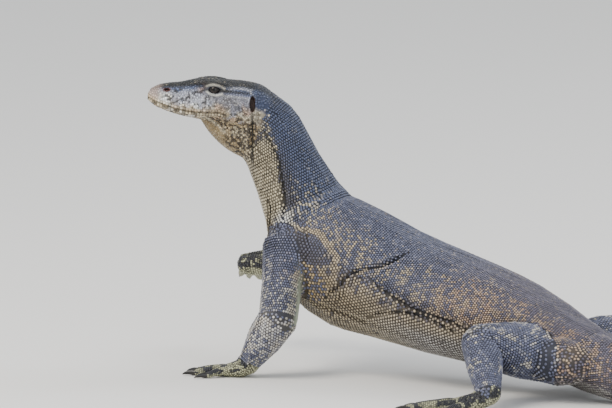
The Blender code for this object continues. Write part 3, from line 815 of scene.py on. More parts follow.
# %% Decimate the body
SKIN_TRIANGLES = 100000
group = skin.vertex_groups.new(name="body")
spare = soft_step(ahead, -0.02, 0.01) * (np.hypot(sideways, upwards) < 0.06)
spare = np.where(owner > LAST_LEG, 0.6, spare)
for level in (0.0, 0.4, 1.0):
    members = np.flatnonzero(np.abs((1 - spare) - level) <= 0.2 + 0.1 * (level == 1.0))
    group.add(members.tolist(), level, "REPLACE")
thin = skin.modifiers.new("thin", "DECIMATE")
thin.ratio = min(1.0, SKIN_TRIANGLES / (2 * len(skin.data.polygons)))
thin.vertex_group = "body"
applied(skin)
skin.vertex_groups.clear()
report("skin:", len(skin.data.polygons), "faces")

# %% [markdown]
# ## Finer triangles on the face
#
# Nostrils, lids, ears and lips are smaller than the skin's triangles, so we first divide those
# patches finer. Both sides of the head are alike, so all questions are asked of one side: places
# are folded onto the left, and an oval tells how many half sizes they are from its middle.

# %% Divide the patches of the face
NOSTRIL, NOSTRIL_HALF, NOSTRIL_SLANT = np.array((0.0993, 0.0142, 0.0068)), (0.0034, 0.0015), math.radians(-12)
EAR, EAR_HALF, EAR_LEAN = np.array((0.0028, 0.0335, 0.0062)), (0.0033, 0.0090), math.radians(8)
EYE_OPENING = (0.0064, 0.0034)
EYE_SLANT, LID_THICKNESS = math.radians(-4), 0.0011
MOUTH_CORNER, MOUTH_DROP, MOUTH_SAMPLES = 0.030, 0.0016, 60
EAR_FINE_REACH = 1.7


def refine(mesh, where):
    """Cuts every edge between the chosen vertices in two, which makes four triangles of one."""
    tidy = bmesh.new()
    tidy.from_mesh(mesh)
    tidy.edges.ensure_lookup_table()
    both = where[get(mesh, "edges", "vertices", 2, np.int32)].all(1)
    chosen = [tidy.edges[k] for k in np.flatnonzero(both)]
    bmesh.ops.subdivide_edges(tidy, edges=chosen, cuts=1, use_grid_fill=True)
    bmesh.ops.triangulate(tidy, faces=[f for f in tidy.faces if len(f.verts) > 3])
    tidy.to_mesh(mesh)
    tidy.free()


def folded(local):
    """Places on the head with its right side folded onto the left."""
    return local * (1, 0, 1) + np.abs(local) * (0, 1, 0)


def oval_reach(mirrored, centre, half, slant):
    """Seen from the side of the head, how many half sizes a place is from an oval's centre."""
    across, up = mirrored[:, 0] - centre[0], mirrored[:, 2] - centre[2]
    along = across * math.cos(slant) + up * math.sin(slant)
    over = up * math.cos(slant) - across * math.sin(slant)
    reach = np.hypot(along / half[0], over / half[1])
    return np.where(mirrored[:, 1] > 0.3 * centre[1], reach, 99.0)


# half sizes from the middle of the nostril, of the ear and of the lids' opening
def nostril_reach(mirrored):
    return oval_reach(mirrored, NOSTRIL, NOSTRIL_HALF, NOSTRIL_SLANT)


def ear_reach(mirrored):
    return oval_reach(mirrored, EAR, EAR_HALF, -EAR_LEAN)


def lid_reach(mirrored):
    return oval_reach(mirrored, EYE, EYE_OPENING, EYE_SLANT)


mouth_at = np.linspace(MOUTH_CORNER, HEAD[-1, 0], MOUTH_SAMPLES)
_, mouth_width, _, mouth_height, _ = smooth(HEAD[:, 0], HEAD, mouth_at).T
mouth_corner_drop = MOUTH_DROP * soft_step(-mouth_at, -MOUTH_CORNER - 0.008, -MOUTH_CORNER)
mouth_line = np.stack([mouth_at, mouth_width, mouth_height - mouth_corner_drop], 1)

for fine_reach in (0.009, 0.0045):
    mirrored = folded(head_local(get(skin.data).astype(float)))
    near_mouth, _ = line_distance(mirrored, mouth_line)
    close = near_mouth < fine_reach * 0.6
    close |= lengths(mirrored - EYE) < fine_reach + 0.0075
    close |= lengths(mirrored - NOSTRIL) < fine_reach
    close |= (ear_reach(mirrored) < EAR_FINE_REACH) & (fine_reach > 0.005)
    refine(skin.data, close)
print("skin with a finer face:", len(skin.data.polygons), "triangles")

# %% [markdown]
# ## The face
#
# Now the skin is moved: inwards along the mouth line with a small swelling for each lip, into
# the nostril slit and the ear, and round the eyeball for the lids. A monitor's ear is a bare,
# tall opening, its lids are thick rims, and behind the jaw a crease runs down to the throat.

# %% Shape lips, nostrils, ears and lids
def jaw_crease(mirrored):
    """Distance ahead of the crease where jaw and throat meet the neck, and how deep it is there."""
    crease = mirrored[:, 0] - 0.0019 - 0.14 * mirrored[:, 2]
    depth = soft_step(-mirrored[:, 2], 0.002, 0.014) * (1 - soft_step(-mirrored[:, 2], 0.056, 0.066))
    return crease, depth * soft_step(mirrored[:, 1], 0.004, 0.012)


local = head_local(get(skin.data).astype(float))
mirrored = folded(local)
local_normals = get(skin.data, "vertex_normals", "vector").astype(float) @ HEAD_AXES.T
near_mouth, along = line_distance(mirrored, mouth_line)
move = 0.0006 * bump_at(near_mouth, 0.0026, 0.0017) - 0.0015 * bump_at(near_mouth, 0, 0.0009)
move *= soft_step(along, 0.0, 0.08)
slit, drum = nostril_reach(mirrored), ear_reach(mirrored)
move += 0.0005 * bump_at(slit, 1.7, 0.5) - 0.0024 * (1 - soft_step(slit, 0.45, 1.1))
move += 0.0008 * bump_at(drum, 1.25, 0.22) - 0.0042 * (1 - soft_step(drum, 0.7, 1.05))
crease, depth = jaw_crease(mirrored)
move += depth * (0.0007 * bump_at(crease, 0.0042, 0.0022) - 0.0026 * bump_at(crease, 0, 0.0017))
local += local_normals * move[:, None]

opening = lid_reach(mirrored)
for side in (1, -1):
    centre = EYE * (1, side, 1)
    out = local - centre
    reach = lengths(out)
    here = (reach < EYE_RADIUS + 0.005) & (local[:, 1] * side > EYE[1] - 0.004)
    inside = np.minimum(reach, EYE_RADIUS - 0.0016)
    rim = EYE_RADIUS + LID_THICKNESS * (1 - soft_step(opening, 1.5, 2.3))
    lidded = np.where(opening < 2.3, np.maximum(reach, rim), reach)
    wanted = inside + (lidded - inside) * soft_step(opening, 0.92, 1.06)
    local = np.where(here[:, None], centre + out * (wanted / reach)[:, None], local)
set_points(skin.data, on_head(local))
skin.data.polygons.foreach_set("use_smooth", np.ones(len(skin.data.polygons), bool))
report("face:", len(skin.data.polygons), "triangles in all")

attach(skin, "root")
FLESH = ["head", "neck", "torso", "tail_base", "tail_front", "tail_rear", "tail_tip"]
FLESH += [f"{part}_{side}" for side in ("left", "right")
          for part in ("upper_arm", "forearm", "forefoot", "thigh", "shin", "hindfoot")]
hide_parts(*FLESH)
print("the one skin replaces", len(FLESH), "solids")

# %% [markdown]
# ## Where the scales sit
#
# Monitor scales are small ovals side by side, in rows across the body. Scattered by chance, they
# would lose the rows, which one sees from far away. So each place is worked out in body
# coordinates and shot onto the skin from outside. Blending the normals at the three corners of
# the triangle that it hits gives a smooth direction to stand up.

# %% Shoot places onto the skin
RAY_START, RAY_LENGTH = 0.012, 0.03
HEAD_CUT_AT, HEAD_CUT_LEAN = -0.0130, math.radians(12)
mesh = skin.data
mesh.calc_loop_triangles()
triangles = get(mesh, "loop_triangles", "vertices", 3, np.int32)
points = get(mesh).astype(float)
point_normals = get(mesh, "vertex_normals", "vector").astype(float)
tree = BVHTree.FromPolygons(points.tolist(), triangles.tolist())


def back_degrees(angle):
    """Degrees from the middle of the back, 0 to 180, the same on both sides."""
    return np.abs((np.degrees(angle) - 90 + 180) % 360 - 180)


def on_skin(hits):
    """Place and smooth normal of each hit: the normals at a triangle's corners, blended."""
    place = np.array([hit[0] for hit in hits])
    corners = triangles[[hit[2] for hit in hits]]
    a, b, c = points[corners].transpose(1, 0, 2)
    area = np.cross(b - a, c - a)
    size = dot(area, area)
    v = dot(np.cross(place - a, c - a), area) / size
    w = dot(np.cross(b - a, place - a), area) / size
    blend = np.stack([1 - v - w, v, w], 1)[..., None]
    return place, unit((point_normals[corners] * blend).sum(1))


def shoot(place, outward):
    """Which rays from outside hit the skin, and place and normal of those that do."""
    rays = zip(place + outward * RAY_START, outward)
    hits = [tree.ray_cast(Vector(start), Vector(-away), RAY_LENGTH) for start, away in rays]
    found = np.array([hit[0] is not None for hit in hits])
    return found, *on_skin([hit for hit in hits if hit[0] is not None])


def together(several):
    """Joins the fields of several rows end to end."""
    return {name: np.concatenate([fields[name] for fields in several]) for name in several[0]}


def chosen(fields, keep):
    """The same fields for the kept scales alone."""
    return {name: values[keep] for name, values in fields.items()}


def is_head(points):
    """In front of the leaning plane behind the ears, where the head was cut from the neck."""
    ahead, _, up = head_local(points).T
    return (ahead - HEAD_CUT_AT) * math.cos(HEAD_CUT_LEAN) + up * math.sin(HEAD_CUT_LEAN) > 0


print("vertices of the head:", int(is_head(points).sum()), "of", len(points))

# %% [markdown]
# ## Rows of scales
#
# Each row is shifted by half a scale against the one before it, like bricks. Stations are spaced
# evenly along a line on the surface, and the places on a ring evenly along its girth. A place is
# kept if the skin that it hits belongs to the part whose rows we are laying.

# %% Lay rows round a part
LINE_SAMPLES, RING_SAMPLES = 200, 360
PACE, TURN = 0.03, 0.01


def even_stations(part, start, stop, row_gap, measured):
    """Stations one gap apart on the surface line that lies so many degrees from the back."""
    line_at = np.linspace(start, stop, LINE_SAMPLES)
    walked = path_lengths(part.surface(line_at, np.full(LINE_SAMPLES, math.radians(90 + measured))))
    count = max(2, int(round(walked[-1] / row_gap)))
    return np.interp((np.arange(count) + 0.5) / count * walked[-1], walked, line_at)


def even_angles(part, stations, around):
    """Angles that cut each ring's girth into equal steps, half a step on in every second ring."""
    count = len(stations)
    rows, turns = grid(np.arange(count), np.arange(RING_SAMPLES))
    ring = part.surface(stations[rows], turns / RING_SAMPLES * TAU).reshape(count, RING_SAMPLES, 3)
    steps = lengths(np.roll(ring, -1, 1) - ring)
    walked = np.concatenate([np.zeros((count, 1)), np.cumsum(steps, 1)], 1)
    turn = TAU * np.arange(RING_SAMPLES + 1) / RING_SAMPLES
    wanted = [(np.arange(around) + 0.5 * (k % 2)) / around * walked[k, -1] for k in range(count)]
    angles = np.stack([np.interp(wanted[k], walked[k], turn) for k in range(count)])
    return angles, walked[:, -1]


def lay_rows(part, start, stop, row_gap, around, sector=(0, 180), measured=90):
    """Rows across a part: the places on even rings, shot onto the skin, where the part owns it."""
    stations = even_stations(part, start, stop, row_gap, measured)
    angles, girths = even_angles(part, stations, around)
    row, angle = np.repeat(np.arange(len(stations)), around), angles.ravel()
    back = back_degrees(angle)
    inside = (back >= sector[0]) & (back <= sector[1])
    row, angle = row[inside], angle[inside]
    at = stations[row]
    place = part.surface(at, angle)
    pace = part.surface(at + PACE, angle) - part.surface(at - PACE, angle)
    long = lengths(pace) / (2 * PACE) * np.gradient(stations)[row]
    sideways = part.surface(at, angle + TURN) - part.surface(at, angle - TURN)
    outward = unit(np.cross(sideways, pace))
    inside_out = dot(outward, place - part.surface(at, angle + math.pi)) < 0
    outward[inside_out] *= -1
    found, place, normal = shoot(place, outward)
    _, owner, _, _ = on_body(place)
    fields = dict(lie=unit(pace), at=at, angle=angle, wide=(girths / around)[row],
                  long=np.clip(long, 0.75 * row_gap, 1.4 * row_gap), outward=outward)
    fields = chosen(fields, found)
    upright = dot(normal, fields.pop("outward")) > 0.1
    fields.update(place=place, normal=normal, part=owner)
    return chosen(fields, (owner == parts.index(part)) & upright)


waist = even_stations(spine_part, 9.0, 12.7, 0.0029, 50)
print("rows on the rear of the trunk:", len(waist))

# %% [markdown]
# ## The rows of each part
#
# Counting along the flank in the picture gives a row every three millimetres or so. Scales are
# small above and larger below, and the rings of the tail have fewer and fewer. The coat is kept
# in pieces by region, so that no piece grows too large.

# %% Rows of the body, the legs and the toes
# from and to station, gap between rows, scales in a full ring, degrees from the back that the
# rows cover, and the line along which the gap is measured: small scales above, larger below
SPINE_ROWS = (
    ("neck", 0.0, 5.2, 0.0031, 82, (0, 48), 0),
    ("neck", 0.0, 5.2, 0.0031, 84, (48, 104), 80),
    ("neck", 0.0, 5.2, 0.0034, 74, (104, 180), 140),
    ("trunk_front", 5.2, 9.0, 0.0029, 142, (0, 80), 50),
    ("trunk_front", 5.2, 9.0, 0.0037, 108, (80, 180), 110),
    ("trunk_rear", 9.0, 12.7, 0.0029, 136, (0, 84), 50),
    ("trunk_rear", 9.0, 12.7, 0.0037, 104, (84, 180), 110),
    ("tail_front", 12.7, 14.6, 0.0034, 78, (0, 180), 90),
    ("tail_front", 14.6, 16.2, 0.0035, 58, (0, 180), 90),
    ("tail_rear", 16.2, 17.6, 0.0035, 44, (0, 180), 90),
    ("tail_rear", 17.6, 18.8, 0.0034, 34, (0, 180), 90),
    ("tail_rear", 18.8, 20.0, 0.0032, 24, (0, 180), 90),
    ("tail_rear", 20.0, 21.0, 0.0028, 14, (0, 180), 90),
)
coat = {}
for piece, *layout in SPINE_ROWS:
    rows = lay_rows(spine_part, *layout)
    coat.setdefault(piece, []).append(chosen(rows, ~is_head(rows["place"])))
LIMB_ROW, TOE_ROW = 0.0030, 0.0021
for part in parts[1:]:
    kind, _, name = part.name.partition("_")
    girth = TAU * part.sizes.mean()
    if kind in ("upper", "lower"):
        rows = lay_rows(part, 0, part.at[-1], LIMB_ROW, int(round(girth / LIMB_ROW)))
        coat.setdefault(name, []).append(rows)
    elif kind == "toe":
        foot = name[:-2]
        coat.setdefault(foot, []).append(lay_rows(part, 0.3, part.at[-1], TOE_ROW, 12))
report("rows:", {name: sum(len(r["at"]) for r in rows) for name, rows in coat.items()})

# %% [markdown]
# ## Darts that even out
#
# Plates of the head have no rows, so we throw darts there: random places on the skin. A dart
# stays if no earlier one is nearer than the local plate size. Then each moves a few times to the
# middle of the random places that are nearest to it, which evens the plates out.

# %% Scatter plates
dice = np.random.default_rng(7)
DARTS_PER_PLATE, EVEN_OUT_ROUNDS, SPARE_DARTS = 6, 2, 1.15
NEIGHBOURS = [(x, y, z) for x in (-1, 0, 1) for y in (-1, 0, 1) for z in (-1, 0, 1)]


def tree_of(places):
    """A search tree that finds the nearest of these places."""
    made = KDTree(len(places))
    for k, place in enumerate(places.tolist()):
        made.insert(place, k)
    made.balance()
    return made


def throw_darts(region, gap_of):
    """Random places on the region's triangles, as many to a plate everywhere, with their gap."""
    a, b, c = points[triangles[region]].transpose(1, 0, 2)
    area = lengths(np.cross(b - a, c - a)) / 2
    middle_gap = gap_of((a + b + c) / 3)
    weight = np.where(middle_gap > 0, area / np.maximum(middle_gap, 1e-4) ** 2, 0)
    amount = int(weight.sum() * SPARE_DARTS * DARTS_PER_PLATE)
    pick = dice.choice(len(region), amount, p=weight / weight.sum())
    u, v = np.sqrt(dice.random(amount)), dice.random(amount)
    darts = a[pick] * (1 - u)[:, None] + b[pick] * (u * (1 - v))[:, None] + c[pick] * (u * v)[:, None]
    gaps = gap_of(darts)
    return darts[gaps > 0], gaps[gaps > 0]


def apart(darts, gaps):
    """Numbers of the darts that no earlier one is nearer to than their gap, found cell by cell."""
    cells, kept = {}, []
    keys = np.floor(darts / gaps.max()).astype(int).tolist()
    for k, (key, (x, y, z), gap) in enumerate(zip(keys, darts.tolist(), gaps.tolist())):
        near = [q for d in NEIGHBOURS for q in cells.get((key[0] + d[0], key[1] + d[1], key[2] + d[2]), ())]
        if all((x - q[0]) ** 2 + (y - q[1]) ** 2 + (z - q[2]) ** 2 > gap * gap for q in near):
            cells.setdefault(tuple(key), []).append((x, y, z))
            kept.append(k)
    return kept


def scatter(region, gap_of):
    """Darts kept apart, then rounds in which each moves to the mean of the places nearest to it."""
    darts, gaps = throw_darts(region, gap_of)
    plates = darts[apart(darts, gaps)]
    for _ in range(EVEN_OUT_ROUNDS):
        index = tree_of(plates)
        owner = np.array([index.find(dart)[1] for dart in darts])
        count = np.maximum(np.bincount(owner, minlength=len(plates)), 1)
        mean = np.stack([np.bincount(owner, darts[:, k], len(plates)) for k in range(3)], 1) / count[:, None]
        plates = np.where((count > 1)[:, None], mean, plates)
    place, normal = on_skin([tree.find_nearest(plate) for plate in plates])
    return place, normal, gap_of(place)


print("darts to a plate:", DARTS_PER_PLATE, "thrown,", EVEN_OUT_ROUNDS, "rounds to even them out")

# %% [markdown]
# ## Plates of the head
#
# The plates of a monitor's head are small and irregular, smallest on the lids. Round the eyes,
# along the mouth, in the nostrils and on the eardrum the skin is bare. A gap of 0 keeps plates
# out there. Along each lip lies one row of larger plates, the labials, evenly spaced on the
# mouth line. The palms have round plates without rows, so darts serve there too.

# %% Plates of head, lips and palms
HEAD_PART, HEAD_REACH = 99, 0.15


def plate_fields(place, normal, gap, lie, part_number):
    """Fields of plates that are 1.26 gaps wide and 1.02 long."""
    _, _, at, angle = on_body(place)
    return dict(place=place, normal=normal, lie=lie, at=at, angle=angle,
                wide=gap * 1.26, long=gap * 1.02, part=np.full(len(place), part_number))


def head_gap(places):
    """Plate size on the head in metres: lids 1.0 mm, cheek 1.8, snout 2.3, throat 2.6, nape 2.8."""
    ahead, y, z = head_local(places).T
    mirrored = folded(head_local(places))
    gap = 0.0018 + 0.0004 * soft_step(ahead, 0.040, 0.065)
    gap = gap + 0.0006 * soft_step(-z, 0.012, 0.024) + 0.0004 * soft_step(z, 0.014, 0.020)
    gap = np.maximum(gap, 0.0018 + 0.0010 * soft_step(-ahead, -0.004, 0.006))
    eye_gap = lengths(mirrored - EYE - (0, 0.004, 0))
    gap = np.where(eye_gap < 0.016, np.minimum(gap, 0.0010 + 0.0008 * soft_step(eye_gap, 0.009, 0.016)), gap)
    slit = nostril_reach(mirrored)
    gap = gap - 0.0005 * (1 - soft_step(slit, 1.6, 3.2))
    bare = (ear_reach(mirrored) < 1.02) | (slit < 1.0) | (lid_reach(mirrored) < 1.12) & (eye_gap < 0.012)
    bare |= line_distance(mirrored, mouth_line)[0] < 0.0038
    crease, depth = jaw_crease(mirrored)
    bare |= (np.abs(crease) < 0.0009) & (depth > 0.3)
    return np.where(bare, 0.0, gap)


centres = points[triangles].mean(1)
near_head = lengths(head_local(centres)) < HEAD_REACH
place, normal, gap = scatter(np.flatnonzero(is_head(centres) & near_head), head_gap)
lie = np.broadcast_to(-HEAD_AXES[0], place.shape)
coat["head"] = [plate_fields(place, normal, gap, lie, HEAD_PART)]

LABIAL_RISE, LABIAL_LONG, LABIAL_TALL, PALM_GAP = 0.0022, 0.0033, 0.0031, 0.0022
lip_length = path_lengths(mouth_line)
lip_count = int(lip_length[-1] / LABIAL_LONG)
lip_place = np.interp((np.arange(lip_count) + 0.5) / lip_count * lip_length[-1], lip_length, mouth_at)
lip_point = smooth(mouth_at, mouth_line, lip_place)
lip_along = unit(smooth(mouth_at, mouth_line, np.clip(lip_place + 0.001, 0, HEAD[-1, 0]))
                 - smooth(mouth_at, mouth_line, lip_place - 0.001))
for side in (1, -1):
    for rise in (LABIAL_RISE, -LABIAL_RISE):
        spot = on_head((lip_point + (0, 0, rise)) * (1, side, 1))
        place, normal = on_skin([tree.find_nearest(p) for p in spot])
        along = (lip_along * (1, side, 1)) @ HEAD_AXES
        labial = plate_fields(place, normal, np.full(lip_count, LABIAL_LONG), along, HEAD_PART)
        labial["long"] = np.full(lip_count, LABIAL_LONG)
        labial["wide"] = np.full(lip_count, LABIAL_TALL)
        coat["head"].append(labial)

_, centre_owner, _, _ = on_body(centres)
for part in parts:
    if part.name.startswith("palm_"):
        number = parts.index(part)
        place, normal, gap = scatter(np.flatnonzero(centre_owner == number),
                                     lambda places: np.full(len(places), PALM_GAP))
        lie = unit(np.broadcast_to(part.points[-1] - part.points[0], place.shape))
        coat[part.name[5:]].append(plate_fields(place, normal, gap, lie, number))
counts = {name: sum(len(fields["at"]) for fields in coat[name]) for name in ("head", "forefoot_left")}
report("plates:", counts)

# %% [markdown]
# ## Where rows crowd
#
# On the inside of a bend the rows crowd, and where a leg meets the body two sets of rows meet.
# Real scales solve this with rows that split and end. We drop each scale that sits too near to
# an earlier one, and those that would stand in the bottom of a fold or on the bare strip of the
# upper arm. Where rows spread on the outside of a bend, or end at a seam, bare places are filled
# with darts that keep clear of the scales already there.

# %% Drop crowded scales and fill bare places
CROWDED, FOLD_BARE, DEEP = 0.66, 0.0011, 0.0025


def arm_strip(part_number, at, normal):
    """How far a place belongs to the bare pale strip on the inner rear side of the upper arm."""
    strip = np.zeros(len(at))
    for side_name, side in (("left", -1), ("right", 1)):
        number = [part.name for part in parts].index(f"upper_foreleg_{side_name}")
        facing = normal @ np.array((0.82, -0.57 * side, 0.0)) - 0.16 * soft_step(at, 1.2, 2.0)
        strip += (part_number == number) * soft_step(facing, 0.60, 0.72) * soft_step(at, 0.85, 1.05)
    return strip


def joined_places():
    """All scale places with their gap, in the order of the pieces of the coat."""
    several = [fields for piece in coat.values() for fields in piece]
    return (np.concatenate([f["place"] for f in several]),
            np.concatenate([np.minimum(f["wide"], f["long"]) for f in several]))


fold_paths = [(path, depth) for line, depth, _ in FOLDS for path in on_sides(line)]


def fold_gap(at, angle):
    """Distance to the nearest fold line on the unfolded body, counted larger for shallow folds."""
    flat = spine_part.surface(at, angle)
    gaps = [line_distance(flat, path)[0] + max(0, DEEP - depth) for path, depth in fold_paths]
    return np.min(gaps, axis=0)


places, gaps = joined_places()
index = tree_of(places)
gone = np.concatenate([(f["part"] == 0) & (fold_gap(f["at"], f["angle"]) < FOLD_BARE)
                       | (arm_strip(f["part"], f["at"], f["normal"]) > 0.5)
                       for piece in coat.values() for f in piece])
nearest = np.array([index.find_n(place, 2)[1][2] for place in places.tolist()])
for k in np.flatnonzero(nearest < CROWDED * gaps).tolist():
    if not gone[k]:
        for _, other, _ in index.find_range(places[k].tolist(), CROWDED * gaps[k]):
            gone[other] |= other > k
first = 0
for name, piece in coat.items():
    for number, fields in enumerate(piece):
        count = len(fields["at"])
        piece[number] = chosen(fields, ~gone[first:first + count])
        first += count
places, gaps = joined_places()
index = tree_of(places)
report("dropped", int(gone.sum()), "scales")

BARE = 0.80


def by_hip(at):
    """1 at the root of the thighs and the tail, 0 on the rest of the body."""
    return soft_step(at, 11.6, 12.6) * (1 - soft_step(at, 14.8, 15.8))


def local_gap(owner, at, angle):
    """Scale size by place: small on the back of the trunk, large on the belly, fine on the feet."""
    above = np.interp(at, (0, 5, 6, 12, 13.5, 21), (0.0031, 0.0031, 0.0028, 0.0028, 0.0031, 0.0022))
    below = np.interp(at, (0, 5, 7, 13, 21), (0.0031, 0.0033, 0.0035, 0.0034, 0.0022))
    gap = np.where(owner == 0, np.where(back_degrees(angle) < 80 + 50 * by_hip(at), above, below), 0.0029)
    return np.where(owner > LAST_LEG, PALM_GAP, gap)


def bare_gap(spots):
    """The body's scale size where no scale is near, 0 elsewhere and on the head."""
    _, owner, at, angle = on_body(spots)
    _, normal = on_skin([tree.find_nearest(spot) for spot in spots.tolist()])
    gap = local_gap(owner, at, angle)
    distance = np.array([index.find(spot)[2] for spot in spots.tolist()])
    folded = (owner == 0) & (fold_gap(at, angle) < FOLD_BARE) | (arm_strip(owner, at, normal) > 0.4)
    return np.where((distance > BARE * gap) & ~is_head(spots) & ~folded, gap, 0.0)


place, normal, _ = scatter(np.flatnonzero(~is_head(centres)), bare_gap)
_, owner, at, angle = on_body(place)
gap = local_gap(owner, at, angle)
lie = np.zeros_like(place)
for number, part in enumerate(parts):
    mine = owner == number
    if mine.any():
        ahead = np.clip(at[mine], 0.05, part.at[-1] - 0.05)
        lie[mine] = part.surface(ahead + 0.02, angle[mine]) - part.surface(ahead - 0.02, angle[mine])
filled = dict(place=place, normal=normal, lie=unit(lie), at=at, angle=angle, part=owner,
              wide=gap * 1.24, long=gap * 1.05)
tail_from = {"neck": 0.0, "trunk_front": 5.2, "trunk_rear": 9.0, "tail_front": 12.7, "tail_rear": 16.2}
for name, start in tail_from.items():
    stop = min([other for other in tail_from.values() if other > start], default=99)
    coat[name].append(chosen(filled, (owner == 0) & (at >= start) & (at < stop)))
for number, part in enumerate(parts[1:], 1):
    kind, _, name = part.name.partition("_")
    name = name[:-2] if kind == "toe" else name
    coat[name].append(chosen(filled, owner == number))
report("filled in", len(place), "scales")

# %% [markdown]
# ## The markings
#
# A water monitor is slate grey above and cream below, and the two meet in flecks, because each
# scale is either dark or pale. So the pattern is a field on the body: how likely a scale is to
# be pale, and which tint it then has. The skin asks the same field, so that both agree. A
# painted picture would first need an unwrap of the whole animal. `noise` makes soft patches.

# %% Noise and colours
SEED_STEP, HASH_WAVES, HASH_HEIGHT = 17.31, (127.1, 311.7, 74.7), 43758.5453


def noise(points, size, seed):
    """Random values on a lattice of cells of this size, blended by 3t^2 - 2t^3 in between."""
    places = points / size + seed * SEED_STEP
    base = np.floor(places)
    share = places - base
    share = share * share * (3 - 2 * share)
    total = np.zeros(len(points))
    for corner in np.ndindex(2, 2, 2):
        value = np.sin((base + corner) @ HASH_WAVES) * HASH_HEIGHT
        weight = np.abs(1 - np.array(corner) - share).prod(1)
        total += weight * (value - np.floor(value))
    return total


def mixed(first, second, share):
    """The first colour where share is 0, the second where it is 1."""
    return first + (second - first) * np.reshape(np.clip(share, 0, 1), (-1, 1))


def tinted(colour, count):
    """One colour repeated, a row for each point."""
    return colour + np.zeros((count, 1))


def layered(colour, *layers):
    """Colours laid over one another: each layer is a colour and the share that it covers."""
    for tint, share in layers:
        colour = mixed(colour, tint, share)
    return colour


INK, CHARCOAL, SLATE, STEEL = (linear(c) for c in ("#101114", "#17191F", "#595E7A", "#8086A4"))
CREAM, SAND, RUST, BONE = (linear(c) for c in ("#DDD0B2", "#C6B090", "#C69A7C", "#CACBD0"))
UMBER, YELLOW, VIOLET, PINK = (linear(c) for c in ("#221A12", "#BEB07C", "#98979F", "#C9B2A5"))
PEWTER, TEMPLE, THROAT, PEARL = (linear(c) for c in ("#14181D", "#67769B", "#BFA87E", "#F6F8F6"))
NAPE, HIP, BROWN = linear("#4C597C"), linear("#6E6778"), linear("#352A20")
DRUM_BROWN, NOSTRIL_BROWN, STRIP_GREEN = linear("#3E2A20"), linear("#6A3A2C"), linear("#B4BDA6")
TAN, FOOT_DOT, GOLD = linear("#8F7B55"), linear("#CDCDA2"), linear("#B79A62")
print("slate", SLATE.round(3), "and cream", CREAM.round(3), "as linear values")

# %% [markdown]
# ## Markings of neck, trunk and tail
#
# Every patch of a real monitor has its own place, given here by the station along the spine and
# the degrees from the middle of the back. A pale strip runs along the neck, an arc of sand bends
# round the shoulder, golden rays leave the armpit, the rear of the back is rusty and the tail
# carries pale rings. Noise frays the borders. Shares over 1 leave nothing to chance.

# %% Markings of neck, trunk and tail
# station and degrees from the middle of the back
STRIP_EDGE = np.array((
    (0, 62), (0.65, 68), (1.43, 76), (2.3, 85), (3.0, 93), (3.68, 97), (4.34, 103), (5.0, 100),
))
ARC = ((5.3, 98), (5.78, 82), (6.15, 72), (6.42, 69), (6.75, 72), (6.99, 78), (7.12, 86), (7.16, 96))
ARC_HALF_WIDTH = 0.0056
ARMPIT, GIRTH_PER_DEGREE, RAY_COUNT = (6.70, 108), 0.00115, 19
STREAK_PER_DEGREE, STREAK_SIZE = 0.0011, np.array((0.0046, 0.020, 1.0))
BAND_STEP, FIRST_RING, RING_STEP = 0.031, 0.60, 0.085


def shoulder(points, at, back, along, patchy, share, tint):
    """Lays arc, dark patch, white patch and armpit over share and tint; also where rims are warm."""
    arc_gap = np.min([line_distance(points, path)[0] for path in on_sides(ARC)], axis=0)
    arc = bump_at(arc_gap, 0, ARC_HALF_WIDTH)
    patch = bump_at(at, 6.15, 0.62) * soft_step(back, 70, 80) * (1 - soft_step(back, 112, 124))
    share = np.maximum(share, 1.1 * arc) * (1 - 0.97 * soft_step(patch, 0.25, 0.6) * (1 - arc))
    low_chest = soft_step(at, 6.4, 6.8) * (1 - soft_step(at, 7.6, 8.4)) * soft_step(back, 92, 106)
    white = bump_at(at, 5.0, 0.42) * bump_at(back, 104, 17)
    pit_along = along - np.interp(ARMPIT[0], spine_part.at, spine_part.lengths)
    pit_round = (back - ARMPIT[1]) * GIRTH_PER_DEGREE
    rays = np.sin(RAY_COUNT * np.arctan2(pit_round, pit_along) + 5 * patchy)
    armpit = bump_at(np.hypot(pit_along, pit_round * np.where(pit_round < 0, 1.7, 1.0)), 0.014, 0.012)
    share = np.maximum(share, 1.5 * white)
    share = share + (0.60 + 0.85 * rays - share) * soft_step(armpit, 0.25, 0.8)
    tint = layered(tint, (SAND, 0.35 * arc), (GOLD, 0.3 * low_chest), (PEARL, white), (GOLD, 0.75 * armpit))
    return share, tint, (1 - 0.9 * np.minimum(1.3 * white, 1)) * (1 - 0.7 * armpit)


